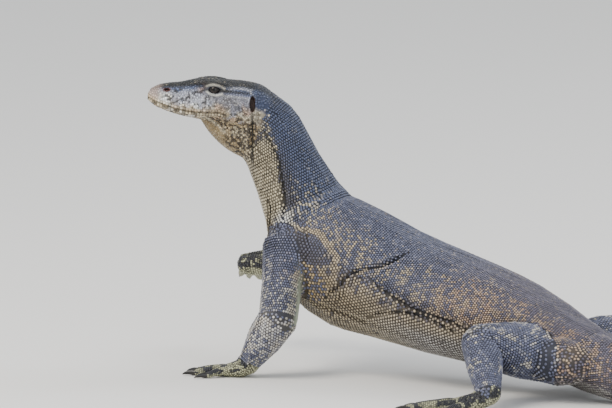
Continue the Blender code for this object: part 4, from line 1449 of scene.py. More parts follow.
def body_field(points, at, angle):
    """Pale share, tint of the pale scales and warmth of the rims on neck, trunk and tail."""
    back = back_degrees(angle)
    along = np.interp(at, spine_part.at, spine_part.lengths)
    patchy = noise(points, 0.016, 1) - 0.5
    streak = noise(np.stack([along, back * STREAK_PER_DEGREE, 0 * back], 1), STREAK_SIZE, 9) - 0.5
    neck = 0.98 * soft_step(back + 14 * patchy - np.interp(at, *STRIP_EDGE.T), -5, 7)
    neck *= 1 - 0.35 * soft_step(at, 4.4, 5.0)
    neck *= 1 - 0.4 * (1 - soft_step(at, 0.8, 1.8)) * (1 - soft_step(back, 100, 120))
    lower = back - 30 * by_hip(at)
    flank = 0.14 + 0.22 * soft_step(back, 30, 66) + 0.58 * soft_step(lower + 12 * patchy, 78, 104)
    band = 0.5 + 0.5 * np.cos(TAU * along / BAND_STEP + 3 * patchy)
    flank += 0.10 * (band - 0.5) * soft_step(back, 20, 45) + 0.40 * streak * soft_step(back, 20, 50)
    share = neck + (flank - neck) * soft_step(at, 4.9, 5.7)
    share = np.maximum(share, 0.06 + 0.36 * bump_at(at, 4.9, 1.2) * bump_at(back, 66, 30))
    share += 0.16 * bump_at(at, 6.6, 1.6) * soft_step(back, 22, 50) * (1 - soft_step(back, 60, 80))
    rear = soft_step(at, 8.6, 9.8) * (1 - soft_step(at, 13.9, 14.9))
    rust = rear * soft_step(back + 10 * patchy, 12, 34) * (1 - soft_step(lower, 74, 96))
    share += rust * (0.18 + 0.10 * band)
    tint = layered(
        tinted(CREAM, len(at)),
        (YELLOW, 0.20 * (1 - soft_step(at, 4.5, 5.5))),
        (SAND, 0.6 * soft_step(at, 5.3, 6.2) * (1 - soft_step(back, 90, 125))),
        (BONE, 0.7 * soft_step(at, 8.0, 9.2) * soft_step(back, 96, 116)),
        (RUST, rust * (0.15 + 0.75 * noise(points, 0.006, 2))),
    )
    share, tint, warmth = shoulder(points, at, back, along, patchy, share, tint)
    tail = soft_step(at, 12.9, 14.0)
    ring = bump_at((along - FIRST_RING) % RING_STEP, 0.030, 0.012) * soft_step(at, 13.4, 14.6)
    share = share * (1 - 0.45 * tail) + 0.75 * ring
    underside = np.maximum(share, 0.50 + 0.4 * (noise(points, 0.02, 5) > 0.4))
    share = np.where(back > 150, underside, share)
    return share, tint, warmth * soft_step(lower, 60, 110) * (1 - 0.5 * tail)


side_at, side_angle = np.array((3.0, 9.0, 15.0)), np.zeros(3)
side_share, _, _ = body_field(spine_point(side_at, side_angle), side_at, side_angle)
print("pale share half way down neck, trunk and tail:", side_share.round(2))

# %% [markdown]
# ## Markings of the legs
#
# The arm is slate at the shoulder and pales downwards. The thigh has loose pale flecks and a
# pale crest along its top. Hands and feet are almost black with pale dots above and pale below.
# The direction that the surface faces says which side of the leg a scale is on.

# %% Markings of the legs
RAISED_FOREARM = [part.name for part in parts].index("lower_foreleg_right")
CREST_FACING = np.array((-0.49, 0.0, 0.80))


def is_foot(part_number, at):
    """Palms and toes, and the end of the lifted forearm, which is coloured like its foot."""
    return (part_number > LAST_LEG) | (part_number == RAISED_FOREARM) & (at > 0.7)


def limb_field(points, part_number, at, normal):
    """Pale share and tint on legs and feet, and a warmth of the rims that goes with the share."""
    names = np.array([part.name for part in parts])[part_number]
    starts = ("upper_fore", "lower_fore", "upper_hind", "lower_hind")
    upper_arm, forearm, thigh, shin = (np.char.startswith(names, start) for start in starts)
    foot = is_foot(part_number, at)
    fine, dots = noise(points, 0.0065, 3), noise(points, 0.0055, 8)
    front = soft_step(-normal[:, 0], -0.2, 0.9)
    downwards = soft_step(at + 0.6 * (fine - 0.5), 0.4, 1.6)
    share = np.full(len(at), 0.12)
    for where, value in (
        (upper_arm, 0.08 + 0.38 * downwards + 0.20 * front),
        (forearm, 0.74 - 0.34 * soft_step(at, 0.9, 1.7)),
        (thigh, 0.20 + 0.30 * soft_step(fine, 0.58, 0.74)),
        (shin, 0.16 + 0.30 * soft_step(fine, 0.62, 0.78)),
        (foot, 0.15 + 0.75 * soft_step(dots, 0.47, 0.56)),
    ):
        share = np.where(where, value, share)
    share = np.maximum(share, soft_step(-normal[:, 2], 0.05, 0.45) * foot)
    rear = upper_arm * soft_step(normal[:, 0], 0.0, 0.6) * (1 - soft_step(at, 0.9, 1.4))
    inner = upper_arm * soft_step(normal[:, 0] - 0.4 * normal[:, 1], 0.95, 1.10) * soft_step(at, 0.5, 1.0)
    tint = layered(tinted(BONE, len(at)), (CREAM, 0.15 + 0.5 * fine), (FOOT_DOT, 0.9 * foot),
                   (RUST, 0.45 * rear), (YELLOW, 0.3 * inner))
    crest = soft_step(normal @ CREST_FACING + 0.34 * np.abs(normal[:, 1]), 0.72, 0.95)
    crest = crest * (thigh * soft_step(at, 0.5, 1.0) + shin * (1 - soft_step(at, 0.2, 0.6)))
    share = share + 0.60 * crest * soft_step(fine, 0.25, 0.45)
    return np.maximum(share, inner), tint, 0.25 * share


print("parts coloured as feet:", int(is_foot(np.arange(len(parts)), np.ones(len(parts))).sum()))

# %% [markdown]
# ## Markings of the head
#
# The crown is nearly black, the temple slate blue, the cheek violet, and the side of the snout
# creamy white with dark specks. Each plate has one colour, so the field only has to say on which
# ground it stands: how far forward, and how high between mouth line and crown. Beside the eye
# run fine lines: bell curves of the distance to a path.

# %% Lines beside the eye
# forward and height from the eye's middle, in mm
BROW_LINE = ((9.5, 3), (6.5, 5), (2, 6.2), (-4, 5.8), (-10.5, 3.4))
UNDER_LINE = ((8, -3.2), (3, -5), (-3, -5), (-8.5, -2.8))
STREAK = ((-6, 0.4), (-18, 1.2), (-41, 1.8))
CANTHUS = ((6.8, -0.4), (12.5, -2.2))
SCROLL = (
    (-16, 3.6), (-25, 5.6), (-33, 6), (-39.5, 4.2),
    (-42.4, 0.4), (-41.6, -3.4), (-38, -5),
)
FINE_LINE, CORNER_LINE = 0.0012, 0.0013
# the bands behind the eye, from the top down: mm over the streak, width, colour and strength
TEMPLE_LINES = (
    (3.6, 0.0011, BONE, 0.30), (0, 0.0019, INK, 0.85),
    (-3, 0.0014, STEEL, 0.60), (-5, 0.0010, BONE, 0.65),
)


def line_near(local, line, width=FINE_LINE):
    """A bell curve of the distance to a line beside the eye, seen from the side of the head."""
    path = np.array([(EYE[0] + f / 1000, 0, EYE[2] + h / 1000) for f, h in line])
    return bump_at(line_distance(local * (1, 0, 1), path)[0], 0, width) * (np.abs(local[:, 1]) > 0.006)


def eye_lines(local, height):
    """Layers of bands behind the eye, dark corners, scroll, rims above and below, and the lids."""
    bands = [(tint, strength * line_near(local, [(f, h + offset) for f, h in STREAK], width))
             for offset, width, tint, strength in TEMPLE_LINES]
    corners = np.maximum(line_near(local, STREAK[:2], CORNER_LINE), line_near(local, CANTHUS))
    lid = lid_reach(folded(local))
    return (
        *bands,
        (INK, 0.92 * corners),
        (mixed(BONE[None], STEEL, 0.35), 0.75 * line_near(local, SCROLL)),
        (INK, 0.62 * bump_at(lid, 1.7, 0.8) * (height > 0.3)),
        (mixed(CREAM[None], PEARL, 0.4), 0.95 * line_near(local, BROW_LINE)),
        (mixed(CREAM[None], PEARL, 0.7), 0.90 * line_near(local, UNDER_LINE)),
        (INK, 0.92 * (1 - soft_step(lid, 1.06, 1.20)) * (np.abs(local[:, 1]) > 0.006)),
    )


print("bands behind the eye:", len(TEMPLE_LINES), "and points of the scroll:", len(SCROLL))

# %% [markdown]
# ## Grounds of the head
#
# Here the layers of the head cover each other in turn: the grounds, the cream lips with brown
# bars and painted shade along the mouth line, the freckled jaw and the plain tan throat, the
# lines beside the eye, the nape, and brown nostril and eardrum with painted shade deep inside them.

# %% Layers of the head
# forward and height of the lower edge of the jaw; below it hangs the throat
JAW_EDGE = np.array(((0.0275, -0.0324), (0.0375, -0.0246), (0.0525, -0.0174), (0.0646, -0.0154)))
# the rosy patch: forward and height from the eye's middle, and its reach
ROSE, ROSE_REACH = (0.0135, -0.0010), 0.0048
PLATES_PER_BAR = 2.6


def head_field(points):
    """Core colour, rim colour and spread on the head, by relative height and by before or behind."""
    local = head_local(points)
    ahead, _, z = local.T
    _, _, top, mouth, _ = smooth(HEAD[:, 0], HEAD, np.clip(ahead, HEAD[0, 0], HEAD[-1, 0])).T
    height = (z - mouth) / np.maximum(top - mouth, 0.002)
    speck, patch, coarse = noise(points, 0.0019, 11), noise(points, 0.0060, 12), noise(points, 0.011, 13)
    crown, before_eye = soft_step(height, 0.74, 0.90), soft_step(ahead, EYE[0] - 0.004, EYE[0] + 0.012)
    flank = before_eye * (1 - soft_step(height + 0.25 * (patch - 0.5), 0.56, 0.80))
    cream = flank * soft_step(patch, 0.42, 0.62) * (0.80 - 0.5 * soft_step(height, 0.2, 0.5))
    cheek = (1 - before_eye) * (1 - soft_step(height + 0.2 * (coarse - 0.5), 0.52, 0.70))
    low_cheek = (1 - before_eye) * (1 - soft_step(height + 0.3 * (coarse - 0.5), 0.14, 0.46))
    rose = bump_at(np.hypot(ahead - EYE[0] - ROSE[0], z - EYE[2] - ROSE[1]), 0, ROSE_REACH)
    specks = soft_step(0.5 * speck + 0.5 * noise(points, 0.0013, 16), 0.53, 0.59)
    specks *= (1 - soft_step(height, 0.75, 0.95)) * (1 - 0.75 * soft_step(ahead, 0.098, 0.110))
    specks *= 0.60 + 0.36 * before_eye + 0.3 * low_cheek
    ground = (
        (PEWTER, crown),
        (CREAM, 0.45 * crown * soft_step(noise(points, 0.0014, 15), 0.74, 0.84)),
        (VIOLET, 0.9 * cheek),
        (PEARL, flank * (0.96 - 0.40 * soft_step(height, 0.45, 0.62))),
        (CREAM, cream),
        (STEEL, 0.60 * flank * soft_step(coarse + 0.3 * (height - 0.4), 0.50, 0.62)),
        (PINK, 0.85 * soft_step(ahead, 0.101, 0.112)),
        (CREAM, 0.70 * low_cheek * soft_step(patch, 0.35, 0.55)),
        (RUST, 0.60 * low_cheek * soft_step(noise(points, 0.0075, 14), 0.52, 0.64)),
        (RUST, 0.65 * rose * soft_step(patch, 0.25, 0.5)),
        (INK, 0.92 * specks * (height > -0.02)),
    )
    gap, _ = line_distance(folded(local), mouth_line)
    lips, lower_lip = bump_at(gap, 0, 0.0034), (z < mouth) * bump_at(gap, 0, 0.006)
    bars = soft_step(np.sin(ahead / LABIAL_LONG * TAU / PLATES_PER_BAR + 4 * patch), -0.1, 0.5)
    below = soft_step(-height + 0.30 * (patch - 0.5) + 0.20 * (speck - 0.5), -0.02, 0.20)
    under_jaw = np.interp(ahead, *JAW_EDGE.T) - z
    along_jaw = soft_step(ahead, 0.022, 0.032) * (1 - soft_step(ahead, 0.058, 0.066))
    throat = along_jaw * soft_step(under_jaw, 0.0005, 0.0030)
    lips_and_throat = (
        (mixed(CREAM[None], YELLOW, 0.35), 0.88 * lips),
        (RUST, 0.40 * lips * (z > mouth) * soft_step(patch, 0.4, 0.6)),
        (UMBER, 0.88 * lips * bars * (1 - 0.7 * soft_step(ahead, 0.095, 0.108))),
        (UMBER, 0.55 * lower_lip * (1 - soft_step(ahead, 0.085, 0.10)) * soft_step(patch, 0.3, 0.6)),
        (THROAT, 0.95 * below),
        (CREAM, 0.7 * below * soft_step(patch, 0.4, 0.6)),
        (UMBER, 0.92 * below * soft_step(speck + 0.25 * (coarse - 0.5), 0.47, 0.55)),
        # painted shade: ink along the groove of the mouth line
        (INK, 0.95 * bump_at(gap, 0, 0.0010)),
        (TAN, 0.80 * throat),
        (CREAM, 0.75 * along_jaw * bump_at(under_jaw, -0.0012, 0.0016)),
    )
    behind = 1 - soft_step(ahead, -0.002, 0.007)
    nape = behind * soft_step(z + 0.006 * (coarse - 0.5), -0.001, 0.005) * (1 - 0.75 * crown)
    strip = behind * (1 - soft_step(z + 0.008 * (coarse - 0.5), -0.003, 0.004))
    slit, drum = nostril_reach(folded(local)), ear_reach(folded(local))
    nape_and_openings = (
        (0.75 * NAPE, nape),
        (CREAM, 0.80 * strip * (1 - below)),
        (UMBER, 0.6 * strip * soft_step(speck, 0.52, 0.66)),
        (NOSTRIL_BROWN, 1 - soft_step(slit, 1.0, 1.7)),
        # painted shade: ink in the middle of the nostril slit
        (INK, 0.9 * (1 - soft_step(slit, 0.4, 0.9))),
        (DRUM_BROWN, 1 - soft_step(drum, 0.94, 1.04)),
        # painted shade: ink over the rear part of the ear opening
        (INK, 0.8 * (1 - soft_step(drum, 0.9, 1.0)) * soft_step(-ahead, -0.0012, 0.0012)),
    )
    layers = (*ground, *lips_and_throat, *eye_lines(local, height), *nape_and_openings)
    core = layered(tinted(TEMPLE, len(points)), *layers)
    low = np.maximum(below, strip)
    rim_share = 0.90 - 0.28 * flank - 0.16 * (1 - before_eye) * (1 - soft_step(height, 0.5, 0.7))
    rim_tint = mixed(tinted(INK, len(points)), UMBER, low)
    rim = mixed(core, rim_tint, np.maximum(rim_share, 0.88 * low) - 0.35 * throat)
    return core, rim, 0.62 + 0.16 * flank - 0.20 * below - 0.20 * nape - 0.22 * crown


tip_core, _, _ = head_field(on_head(HEAD[-1:, (0, 4, 3)] * (1, 0, 1)))
print("colour at the tip of the snout:", tip_core[0].round(2))

# %% [markdown]
# ## One paint for skin and scales
#
# Every scale draws a lot: with a pale share of 0.3 about a third of the scales are pale. Its top
# has the core colour, its foot the dark rim colour, and the spread says how far down the core
# reaches. The skin asks the same function with the lot in the middle, and mostly takes the rim
# colour, as the skin between the scales is dark.

# %% Paint the skin
HIND_LEGS = [k for k, part in enumerate(parts) if "er_hindleg" in part.name]
LOWER_ARMS = [k for k, part in enumerate(parts) if part.name.startswith("lower_foreleg")]
MIDDLE_LUCK = 0.5


def dark_cores(points, body, at, angle, luck):
    """Tops of dark scales by region: slate, black to blue down the neck, brownish over the hips."""
    nape_top = body * (1 - soft_step(at, 0.1, 1.2)) * (1 - soft_step(back_degrees(angle), 25, 60))
    return layered(
        tinted(SLATE, len(points)),
        (STEEL, 0.50 * noise(points, 0.012, 6) + 0.4 * (luck > 0.75)),
        (NAPE, 0.9 * body * (1 - soft_step(at, 4.5, 6.5))),
        (PEWTER, 0.75 * nape_top),
        (HIP, 0.8 * body * soft_step(at, 8.0, 10.5)),
    )


def paint(points, normal, part_number, at, angle, luck):
    """Core colour, rim colour and how far the core spreads, for scales or for skin."""
    count = len(points)
    share, warm, tint = np.zeros(count), np.zeros(count), np.zeros((count, 3))
    body, head_part = part_number == 0, part_number == HEAD_PART
    legs = ~body & ~head_part
    share[body], tint[body], warm[body] = body_field(points[body], at[body], angle[body])
    if legs.any():
        on_legs = limb_field(points[legs], part_number[legs], at[legs], normal[legs])
        share[legs], tint[legs], warm[legs] = on_legs
    pale = soft_step(share + 0.75 * (luck - 0.5) + 0.16 * (noise(points, 0.009, 4) - 0.5), 0.32, 0.82)
    foot = legs & is_foot(part_number, at)
    dark = mixed(dark_cores(points, body, at, angle, luck), BROWN, 0.85 * warm)
    core = mixed(mixed(dark, INK, 0.88 * foot), tint, pale)
    rim = mixed(mixed(tinted(CHARCOAL, count), INK, np.where(foot, 0.8, 0.35)), UMBER, warm)
    trunk = body * soft_step(at, 4.9, 6.0)
    spread = 0.46 - (0.12 + 0.20 * trunk) * pale * warm - 0.08 * body * (at < 5)
    spread += 0.16 * np.isin(part_number, HIND_LEGS) + 0.14 * np.isin(part_number, LOWER_ARMS) * ~foot
    if head_part.any():
        core[head_part], rim[head_part], spread[head_part] = head_field(points[head_part])
    strip = arm_strip(part_number, at, normal)
    core, rim = mixed(core, STRIP_GREEN, strip), mixed(rim, STRIP_GREEN, 0.92 * strip)
    # painted shade: core and rim darken towards ink along the crease behind the jaw
    ahead, y, z = head_local(points).T
    crease, depth = jaw_crease(np.stack([ahead, np.abs(y), z], 1))
    shade = 0.9 * depth * bump_at(crease, 0, 0.0015)
    core, rim = mixed(core, INK, shade), mixed(rim, INK, shade)
    return core * (0.76 + 0.48 * ((luck * 7.3) % 1))[:, None], rim, spread


def write_attribute(mesh, name, values, kind="FLOAT"):
    """Stores one value or one colour for each vertex under a name that materials can read."""
    field = {"FLOAT": "value", "FLOAT_COLOR": "color"}[kind]
    mesh.attributes.new(name, kind, "POINT").data.foreach_set(field, np.asarray(values, np.float32).ravel())


def fold_shade(part_number, at, angle):
    """How much painted shade a fold puts on a place, from 0 outside to 1 in the middle of it."""
    shade = np.zeros(len(at))
    body = part_number == 0
    shade[body] = bump_at(fold_gap(at[body], angle[body]), 0, 0.0019)
    return shade


skin_points = get(skin.data).astype(float)
skin_normals = get(skin.data, "vertex_normals", "vector").astype(float)
_, skin_owner, skin_at, skin_angle = on_body(skin_points)
near_head = lengths(head_local(skin_points)) < HEAD_REACH
skin_owner = np.where(is_head(skin_points) & near_head, HEAD_PART, skin_owner)
lots = np.full(len(skin_points), MIDDLE_LUCK)
core, rim, _ = paint(skin_points, skin_normals, skin_owner, skin_at, skin_angle, lots)
bare = mixed(rim, core, np.where(skin_owner == HEAD_PART, 0.35, 0.10))
# painted shade: the skin in the bottom of each fold is darkened towards ink
bare = mixed(bare, INK, 0.9 * fold_shade(skin_owner, skin_at, skin_angle))
write_attribute(skin.data, "Markings", np.concatenate([bare, np.ones((len(bare), 1))], 1), "FLOAT_COLOR")
report("painted the skin")

# %% [markdown]
# ## One scale
#
# One scale is a low dome on a six-sided foot: a foot ring just under the skin, a shoulder ring
# and a top, closed below. It has only thirteen corners, because there are more than forty
# thousand of them. Each also gets its own little patch on a map called OFBake, where its root
# lies on a flat unwrap of the part: length along it, angle round it.

# %% Template of a scale and its place on the map
CORNERS = np.arange(6) * TAU / 6
FOOT_SINK, SHOULDER_REACH, SHOULDER_RISE, DOME = 0.07, 0.66, 0.76, 0.25
SCALE_CORNERS, SCALE_FACES, SCALE_LOOPS, HIDDEN_LOOPS = 13, 13, 48, slice(42, 48)
foot_u, foot_v = np.cos(CORNERS), np.sin(CORNERS) / math.sin(TAU / 6)
template_u = np.concatenate([foot_u, foot_u * SHOULDER_REACH, [0]])
template_v = np.concatenate([foot_v, foot_v * SHOULDER_REACH, [0]])
template_h = np.concatenate([np.zeros(6), np.full(6, SHOULDER_RISE), [1]])
k, n = np.arange(6), (np.arange(6) + 1) % 6
LOOPS = np.concatenate([
    np.stack([np.full(6, 12), 6 + k, 6 + n], 1).ravel(),
    np.stack([k, n, 6 + n, 6 + k], 1).ravel(),
    k[::-1],
])
FACE_SIZES = np.array([3] * 6 + [4] * 6 + [6])
PATCH, MAP_EDGE, STRIP_EDGE_SHARE = 0.003, 0.006, 0.02


def unwrap(fields):
    """Map places of the roots: u along the part, v the angle round it, one strip for each part."""
    u, v = np.zeros(len(fields["at"])), np.zeros(len(fields["at"]))
    numbers = np.unique(fields["part"])
    for strip, number in enumerate(numbers):
        mine = fields["part"] == number
        if number == HEAD_PART:
            ahead, y, z = head_local(fields["place"][mine]).T
            along, turn = ahead, np.arctan2(z, y) % TAU
        else:
            along, turn = fields["at"][mine], fields["angle"][mine] % TAU
        share = (along - along.min()) / max(np.ptp(along), 1e-6)
        u[mine] = MAP_EDGE + (1 - 2 * MAP_EDGE) * share
        v[mine] = (strip + STRIP_EDGE_SHARE + (1 - 2 * STRIP_EDGE_SHARE) * turn / TAU) / len(numbers)
    return u, v


def bake_map(mesh, fields):
    """The template round the root of each scale, and the hidden underside folded into the root."""
    root_u, root_v = unwrap(fields)
    map_u = root_u[:, None] + template_u[LOOPS] * PATCH / 2
    map_v = root_v[:, None] + template_v[LOOPS] * PATCH / 2
    map_u[:, HIDDEN_LOOPS], map_v[:, HIDDEN_LOOPS] = root_u[:, None], root_v[:, None]
    layer = mesh.uv_layers.new(name="OFBake")
    layer.data.foreach_set("uv", np.stack([map_u, map_v], 2).astype(np.float32).ravel())


head_u, _ = unwrap(together(coat["head"]))
print("the head's roots on the map:", [round(float(v), 3) for v in (head_u.min(), head_u.max())])

# %% [markdown]
# ## The coat of scales
#
# All scales of a piece are worked out at once: place + along * length + across * width + normal
# * height. Small random changes of size, turn and place keep them from looking stamped. The
# colour runs from the core at the top to the rim at the foot.

# %% Build the scales
SIZES, TURNS, SHIFTS = (0.90, 1.04), (-0.12, 0.12), (-0.06, 0.06)
HEAD_DOME, HEAD_ROUGH, BODY_ROUGH, FOLD_PAINTED_SHADE = 0.7, 0.16, 0.07, 0.45


def scale_corners(fields):
    """Luck of each scale, and its corners: place + along * u + across * v + normal * h."""
    count = len(fields["at"])
    on_head_part = fields["part"] == HEAD_PART
    luck, size = dice.random(count), dice.uniform(*SIZES, count)
    normal = fields["normal"]
    turned = fields["lie"] + np.cross(normal, fields["lie"]) * dice.uniform(*TURNS, count)[:, None]
    along = unit(turned - dot(turned, normal)[:, None] * normal)
    across = np.cross(normal, along)
    long, wide = fields["long"] * size * 2 / 3, fields["wide"] * size / 2
    small = np.minimum(fields["long"], fields["wide"]) * size
    high = np.where(on_head_part, HEAD_DOME, 1.0) * DOME * small
    rough = np.where(on_head_part, HEAD_ROUGH, BODY_ROUGH)[:, None]
    irregular = 1 + rough * (dice.random((count, SCALE_CORNERS)) - 0.5)
    u, v = template_u * long[:, None] * irregular, template_v * wide[:, None] * irregular
    h = template_h * high[:, None] - FOOT_SINK * small[:, None] * (template_h == 0)
    shift = dice.uniform(*SHIFTS, (2, count, 1))
    place = fields["place"] + along * shift[0] * fields["long"][:, None]
    place += across * shift[1] * fields["wide"][:, None]
    corners = (place[:, None] + along[:, None] * u[..., None]
               + across[:, None] * v[..., None] + normal[:, None] * h[..., None])
    corners[..., 2] = np.maximum(corners[..., 2], 0.0)
    return luck, corners


def scale_mesh(name, corners):
    """One mesh from the corners of many scales: the template's loops, counted on for each."""
    count = len(corners)
    mesh = bpy.data.meshes.new(name)
    mesh.vertices.add(count * SCALE_CORNERS)
    mesh.vertices.foreach_set("co", corners.astype(np.float32).ravel())
    mesh.loops.add(count * SCALE_LOOPS)
    loops = LOOPS + SCALE_CORNERS * np.arange(count)[:, None]
    mesh.loops.foreach_set("vertex_index", loops.astype(np.int32).ravel())
    mesh.polygons.add(count * SCALE_FACES)
    sizes = np.tile(FACE_SIZES, count)
    mesh.polygons.foreach_set("loop_start", np.concatenate([[0], np.cumsum(sizes)[:-1]]).astype(np.int32))
    mesh.polygons.foreach_set("use_smooth", np.ones(count * SCALE_FACES, bool))
    mesh.update(calc_edges=True)
    return mesh


def scale_colours(fields, luck):
    """Rim colour at the foot, the blend that the spread asks for at the shoulder, core on top."""
    where = (fields["part"], fields["at"], fields["angle"])
    core, rim, spread = paint(fields["place"], fields["normal"], *where, luck)
    # painted shade: the tops of scales near a fold line are darkened towards ink
    core = mixed(core, INK, FOLD_PAINTED_SHADE * fold_shade(*where))
    shoulder_ring = (rim + (core - rim) * spread[:, None])[:, None]
    colours = [np.repeat(rim[:, None], 6, 1), np.repeat(shoulder_ring, 6, 1), core[:, None]]
    return np.concatenate([np.concatenate(colours, 1), np.ones((len(luck), SCALE_CORNERS, 1))], 2)


def scales(name, fields):
    """All scales of one region as one object, painted, mapped and handed to the frame."""
    luck, corners = scale_corners(fields)
    mesh = scale_mesh(name, corners)
    write_attribute(mesh, "Markings", scale_colours(fields, luck), "FLOAT_COLOR")
    bake_map(mesh, fields)
    made = bpy.data.objects.new(name, mesh)
    bpy.context.scene.collection.objects.link(made)
    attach(made, "root")
    return made


coat_objects = [scales(f"scales_{name}", together(several)) for name, several in coat.items()]
scale_count = sum(len(piece.data.vertices) // SCALE_CORNERS for piece in coat_objects)
report("scales:", scale_count)

# %% [markdown]
# ## Skin and horn
#
# Between the scales lies soft living skin: dull, finely grained, with a little light passing
# through it. The scales are beta keratin, smoother than the skin, with a dry satin shine and an
# index of refraction of about 1.54. Both take their colour from the Markings attribute, broken
# up by a grain that is drawn a little coarser than the real one, so that it shows at all.

# %% Materials of skin and scales
GRAIN_MM, PATCH_MM, GRAIN_BUMP = 0.6, 5.0, 0.6
KERATIN_IOR, LIGHT_REACH = 1.54, 0.0012


def new_material(name):
    """A material and its main shader node."""
    made = bpy.data.materials.new(name)
    made.use_nodes = True
    return made, made.node_tree.nodes["Principled BSDF"]


def node(material, kind, settings=None, stops=(), **links):
    """Adds one shader node, sets its fields, sockets and colour stops, and links its sockets."""
    made = material.node_tree.nodes.new(kind)
    for name, value in (settings or {}).items():
        if hasattr(made, name):
            setattr(made, name, value)
        else:
            made.inputs[name].default_value = value
    for _ in stops[2:]:
        made.color_ramp.elements.new(0.5)
    for number, (place, code) in enumerate(stops):
        element = made.color_ramp.elements[number]
        element.position, element.color = place, rgba(code)
    for name, source in links.items():
        target = made.inputs[name.replace("_", " ")]
        material.node_tree.links.new(source, target)
    return made


def marked_material(name, roughness, ior, grain_strength, bump_mm, subsurface):
    """Markings colour times a noise of grain and patches, with the same grain as bump."""
    material, shader = new_material(name)
    place = node(material, "ShaderNodeTexCoord").outputs["Object"]
    grain = node(material, "ShaderNodeTexNoise", {"Scale": 1000 / GRAIN_MM, "Detail": 3.0}, Vector=place)
    patch = node(material, "ShaderNodeTexNoise", {"Scale": 1000 / PATCH_MM, "Detail": 2.0}, Vector=place)
    both = node(material, "ShaderNodeMath", {"operation": "ADD"})
    links = material.node_tree.links
    links.new(grain.outputs["Fac"], both.inputs[0])
    links.new(patch.outputs["Fac"], both.inputs[1])
    gain = node(material, "ShaderNodeMapRange", {
        "From Min": 0.6, "From Max": 1.4, "To Min": 1 - grain_strength, "To Max": 1 + grain_strength,
    }, Value=both.outputs["Value"])
    colour = node(material, "ShaderNodeAttribute", {"attribute_name": "Markings"})
    scaled = node(material, "ShaderNodeVectorMath", {"operation": "SCALE"}, Scale=gain.outputs["Result"])
    links.new(colour.outputs["Color"], scaled.inputs[0])
    links.new(scaled.outputs["Vector"], shader.inputs["Base Color"])
    rough = node(material, "ShaderNodeMapRange", {
        "From Min": 0.3, "From Max": 0.7, "To Min": roughness - 0.07, "To Max": roughness + 0.07,
    }, Value=patch.outputs["Fac"])
    links.new(rough.outputs["Result"], shader.inputs["Roughness"])
    bump = {"Strength": GRAIN_BUMP, "Distance": bump_mm / 1000}
    raised = node(material, "ShaderNodeBump", bump, Height=grain.outputs["Fac"])
    links.new(raised.outputs["Normal"], shader.inputs["Normal"])
    shader.inputs["IOR"].default_value = ior
    shader.inputs["Subsurface Weight"].default_value = subsurface
    shader.inputs["Subsurface Scale"].default_value = LIGHT_REACH
    return material


skin.data.materials.clear()
skin.data.materials.append(marked_material("soft_reptile_skin_finely_grained", 0.62, 1.40, 0.20, 0.10, 0.05))
keratin = marked_material("beta_keratin_scale_satin", 0.38, KERATIN_IOR, 0.14, 0.05, 0.0)
for piece in coat_objects:
    piece.data.materials.append(keratin)
print("materials:", skin.data.materials[0].name, "and", keratin.name)

# %% [markdown]
# ## Eyes
#
# A lizard's eye is a ball with a slightly fuller cornea. We turn a profile round the axis that
# points out of the head. Each vertex keeps its angle from that axis as an attribute, and the
# material turns it into pupil, iris and the dark rest of the eye.

# %% Build the eyeballs
CORNEA_HALF_ANGLE, CORNEA_RISE = math.radians(38), 0.00035
RINGS, AROUND = 40, 48


def closed_rings(name, rings):
    """An object from a stack of rings, with its faces turned outwards and shaded smooth."""
    made = new_object(name, rings.reshape(-1, 3), shell_faces(*rings.shape[:2], 0))
    outwards(made.data)
    made.data.polygons.foreach_set("use_smooth", np.ones(len(made.data.polygons), bool))
    return made


eyes = []
for side_name, side in (("left", 1), ("right", -1)):
    polar = np.linspace(0.03, math.pi - 0.03, RINGS)
    axis = unit(np.array((0.10, side, 0.06)))
    first = unit(np.cross(axis, (0, 0, 1)))
    second_axis = np.cross(axis, first)
    radius = EYE_RADIUS + CORNEA_RISE * (1 - soft_step(polar, 0.3, CORNEA_HALF_ANGLE * 1.2)) - 0.0002
    turn = TAU * np.arange(AROUND) / AROUND
    ring = np.cos(turn)[:, None] * first + np.sin(turn)[:, None] * second_axis
    rings = EYE * (1, side, 1) + (
        (radius * np.cos(polar))[:, None, None] * axis + (radius * np.sin(polar))[:, None, None] * ring
    )
    eye = closed_rings(f"eyeball_{side_name}", on_head(rings))
    write_attribute(eye.data, "Polar", np.repeat(polar, AROUND))
    write_attribute(eye.data, "Spoke", np.tile(turn, RINGS))
    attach(eye, "root")
    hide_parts(f"eye_{side_name}")
    eyes.append(eye)
print("eyes:", [len(eye.data.polygons) for eye in eyes])

# %% [markdown]
# ## Claws
#
# Water monitors climb and dig with long curved claws. Each is a horn sweep, higher than wide,
# that follows the end of its toe's path and narrows to a blunt point. It starts inside the toe,
# so that the last scales close round it.

# %% Build the claws
CLAW_RADIUS, CLAW_RINGS, CLAW_AROUND = 0.0027, 26, 14
# shares of the claw's radius across and up, from inside the toe to the point
CLAW_SIZES = ((1, 1), (1, 1.12), (0.80, 1.12), (0.62, 0.95), (0.40, 0.60), (0.10, 0.14))
claw_tops = {}
for foot in palms:
    claws, start, faces, tips = [], 0, [], []
    for number in range(1, 6):
        points, _, toe_side = toe_paths[f"{foot}_{number}"]
        path = np.concatenate([points[2:3] * 0.35 + points[3:4] * 0.65, points[3:4],
                               (points[3:4] + points[4:5]) / 2, points[4:]])
        rings = sweep(path, np.array(CLAW_SIZES) * CLAW_RADIUS, CLAW_RINGS, CLAW_AROUND, (0, 5), toe_side)
        faces += shell_faces(CLAW_RINGS, CLAW_AROUND, start)
        start += CLAW_RINGS * CLAW_AROUND
        claws.append(rings.reshape(-1, 3))
        tips.append(np.repeat(np.linspace(0, 1, CLAW_RINGS), CLAW_AROUND))
    made = new_object(f"{foot}_claws", np.concatenate(claws), faces)
    outwards(made.data)
    made.data.polygons.foreach_set("use_smooth", np.ones(len(made.data.polygons), bool))
    write_attribute(made.data, "Tip", np.concatenate(tips))
    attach(made, "root")
    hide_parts(*[f"{foot}_claw_{number}" for number in range(1, 6)])
    claw_tops[foot] = made
print("claws:", len(claw_tops) * 5)

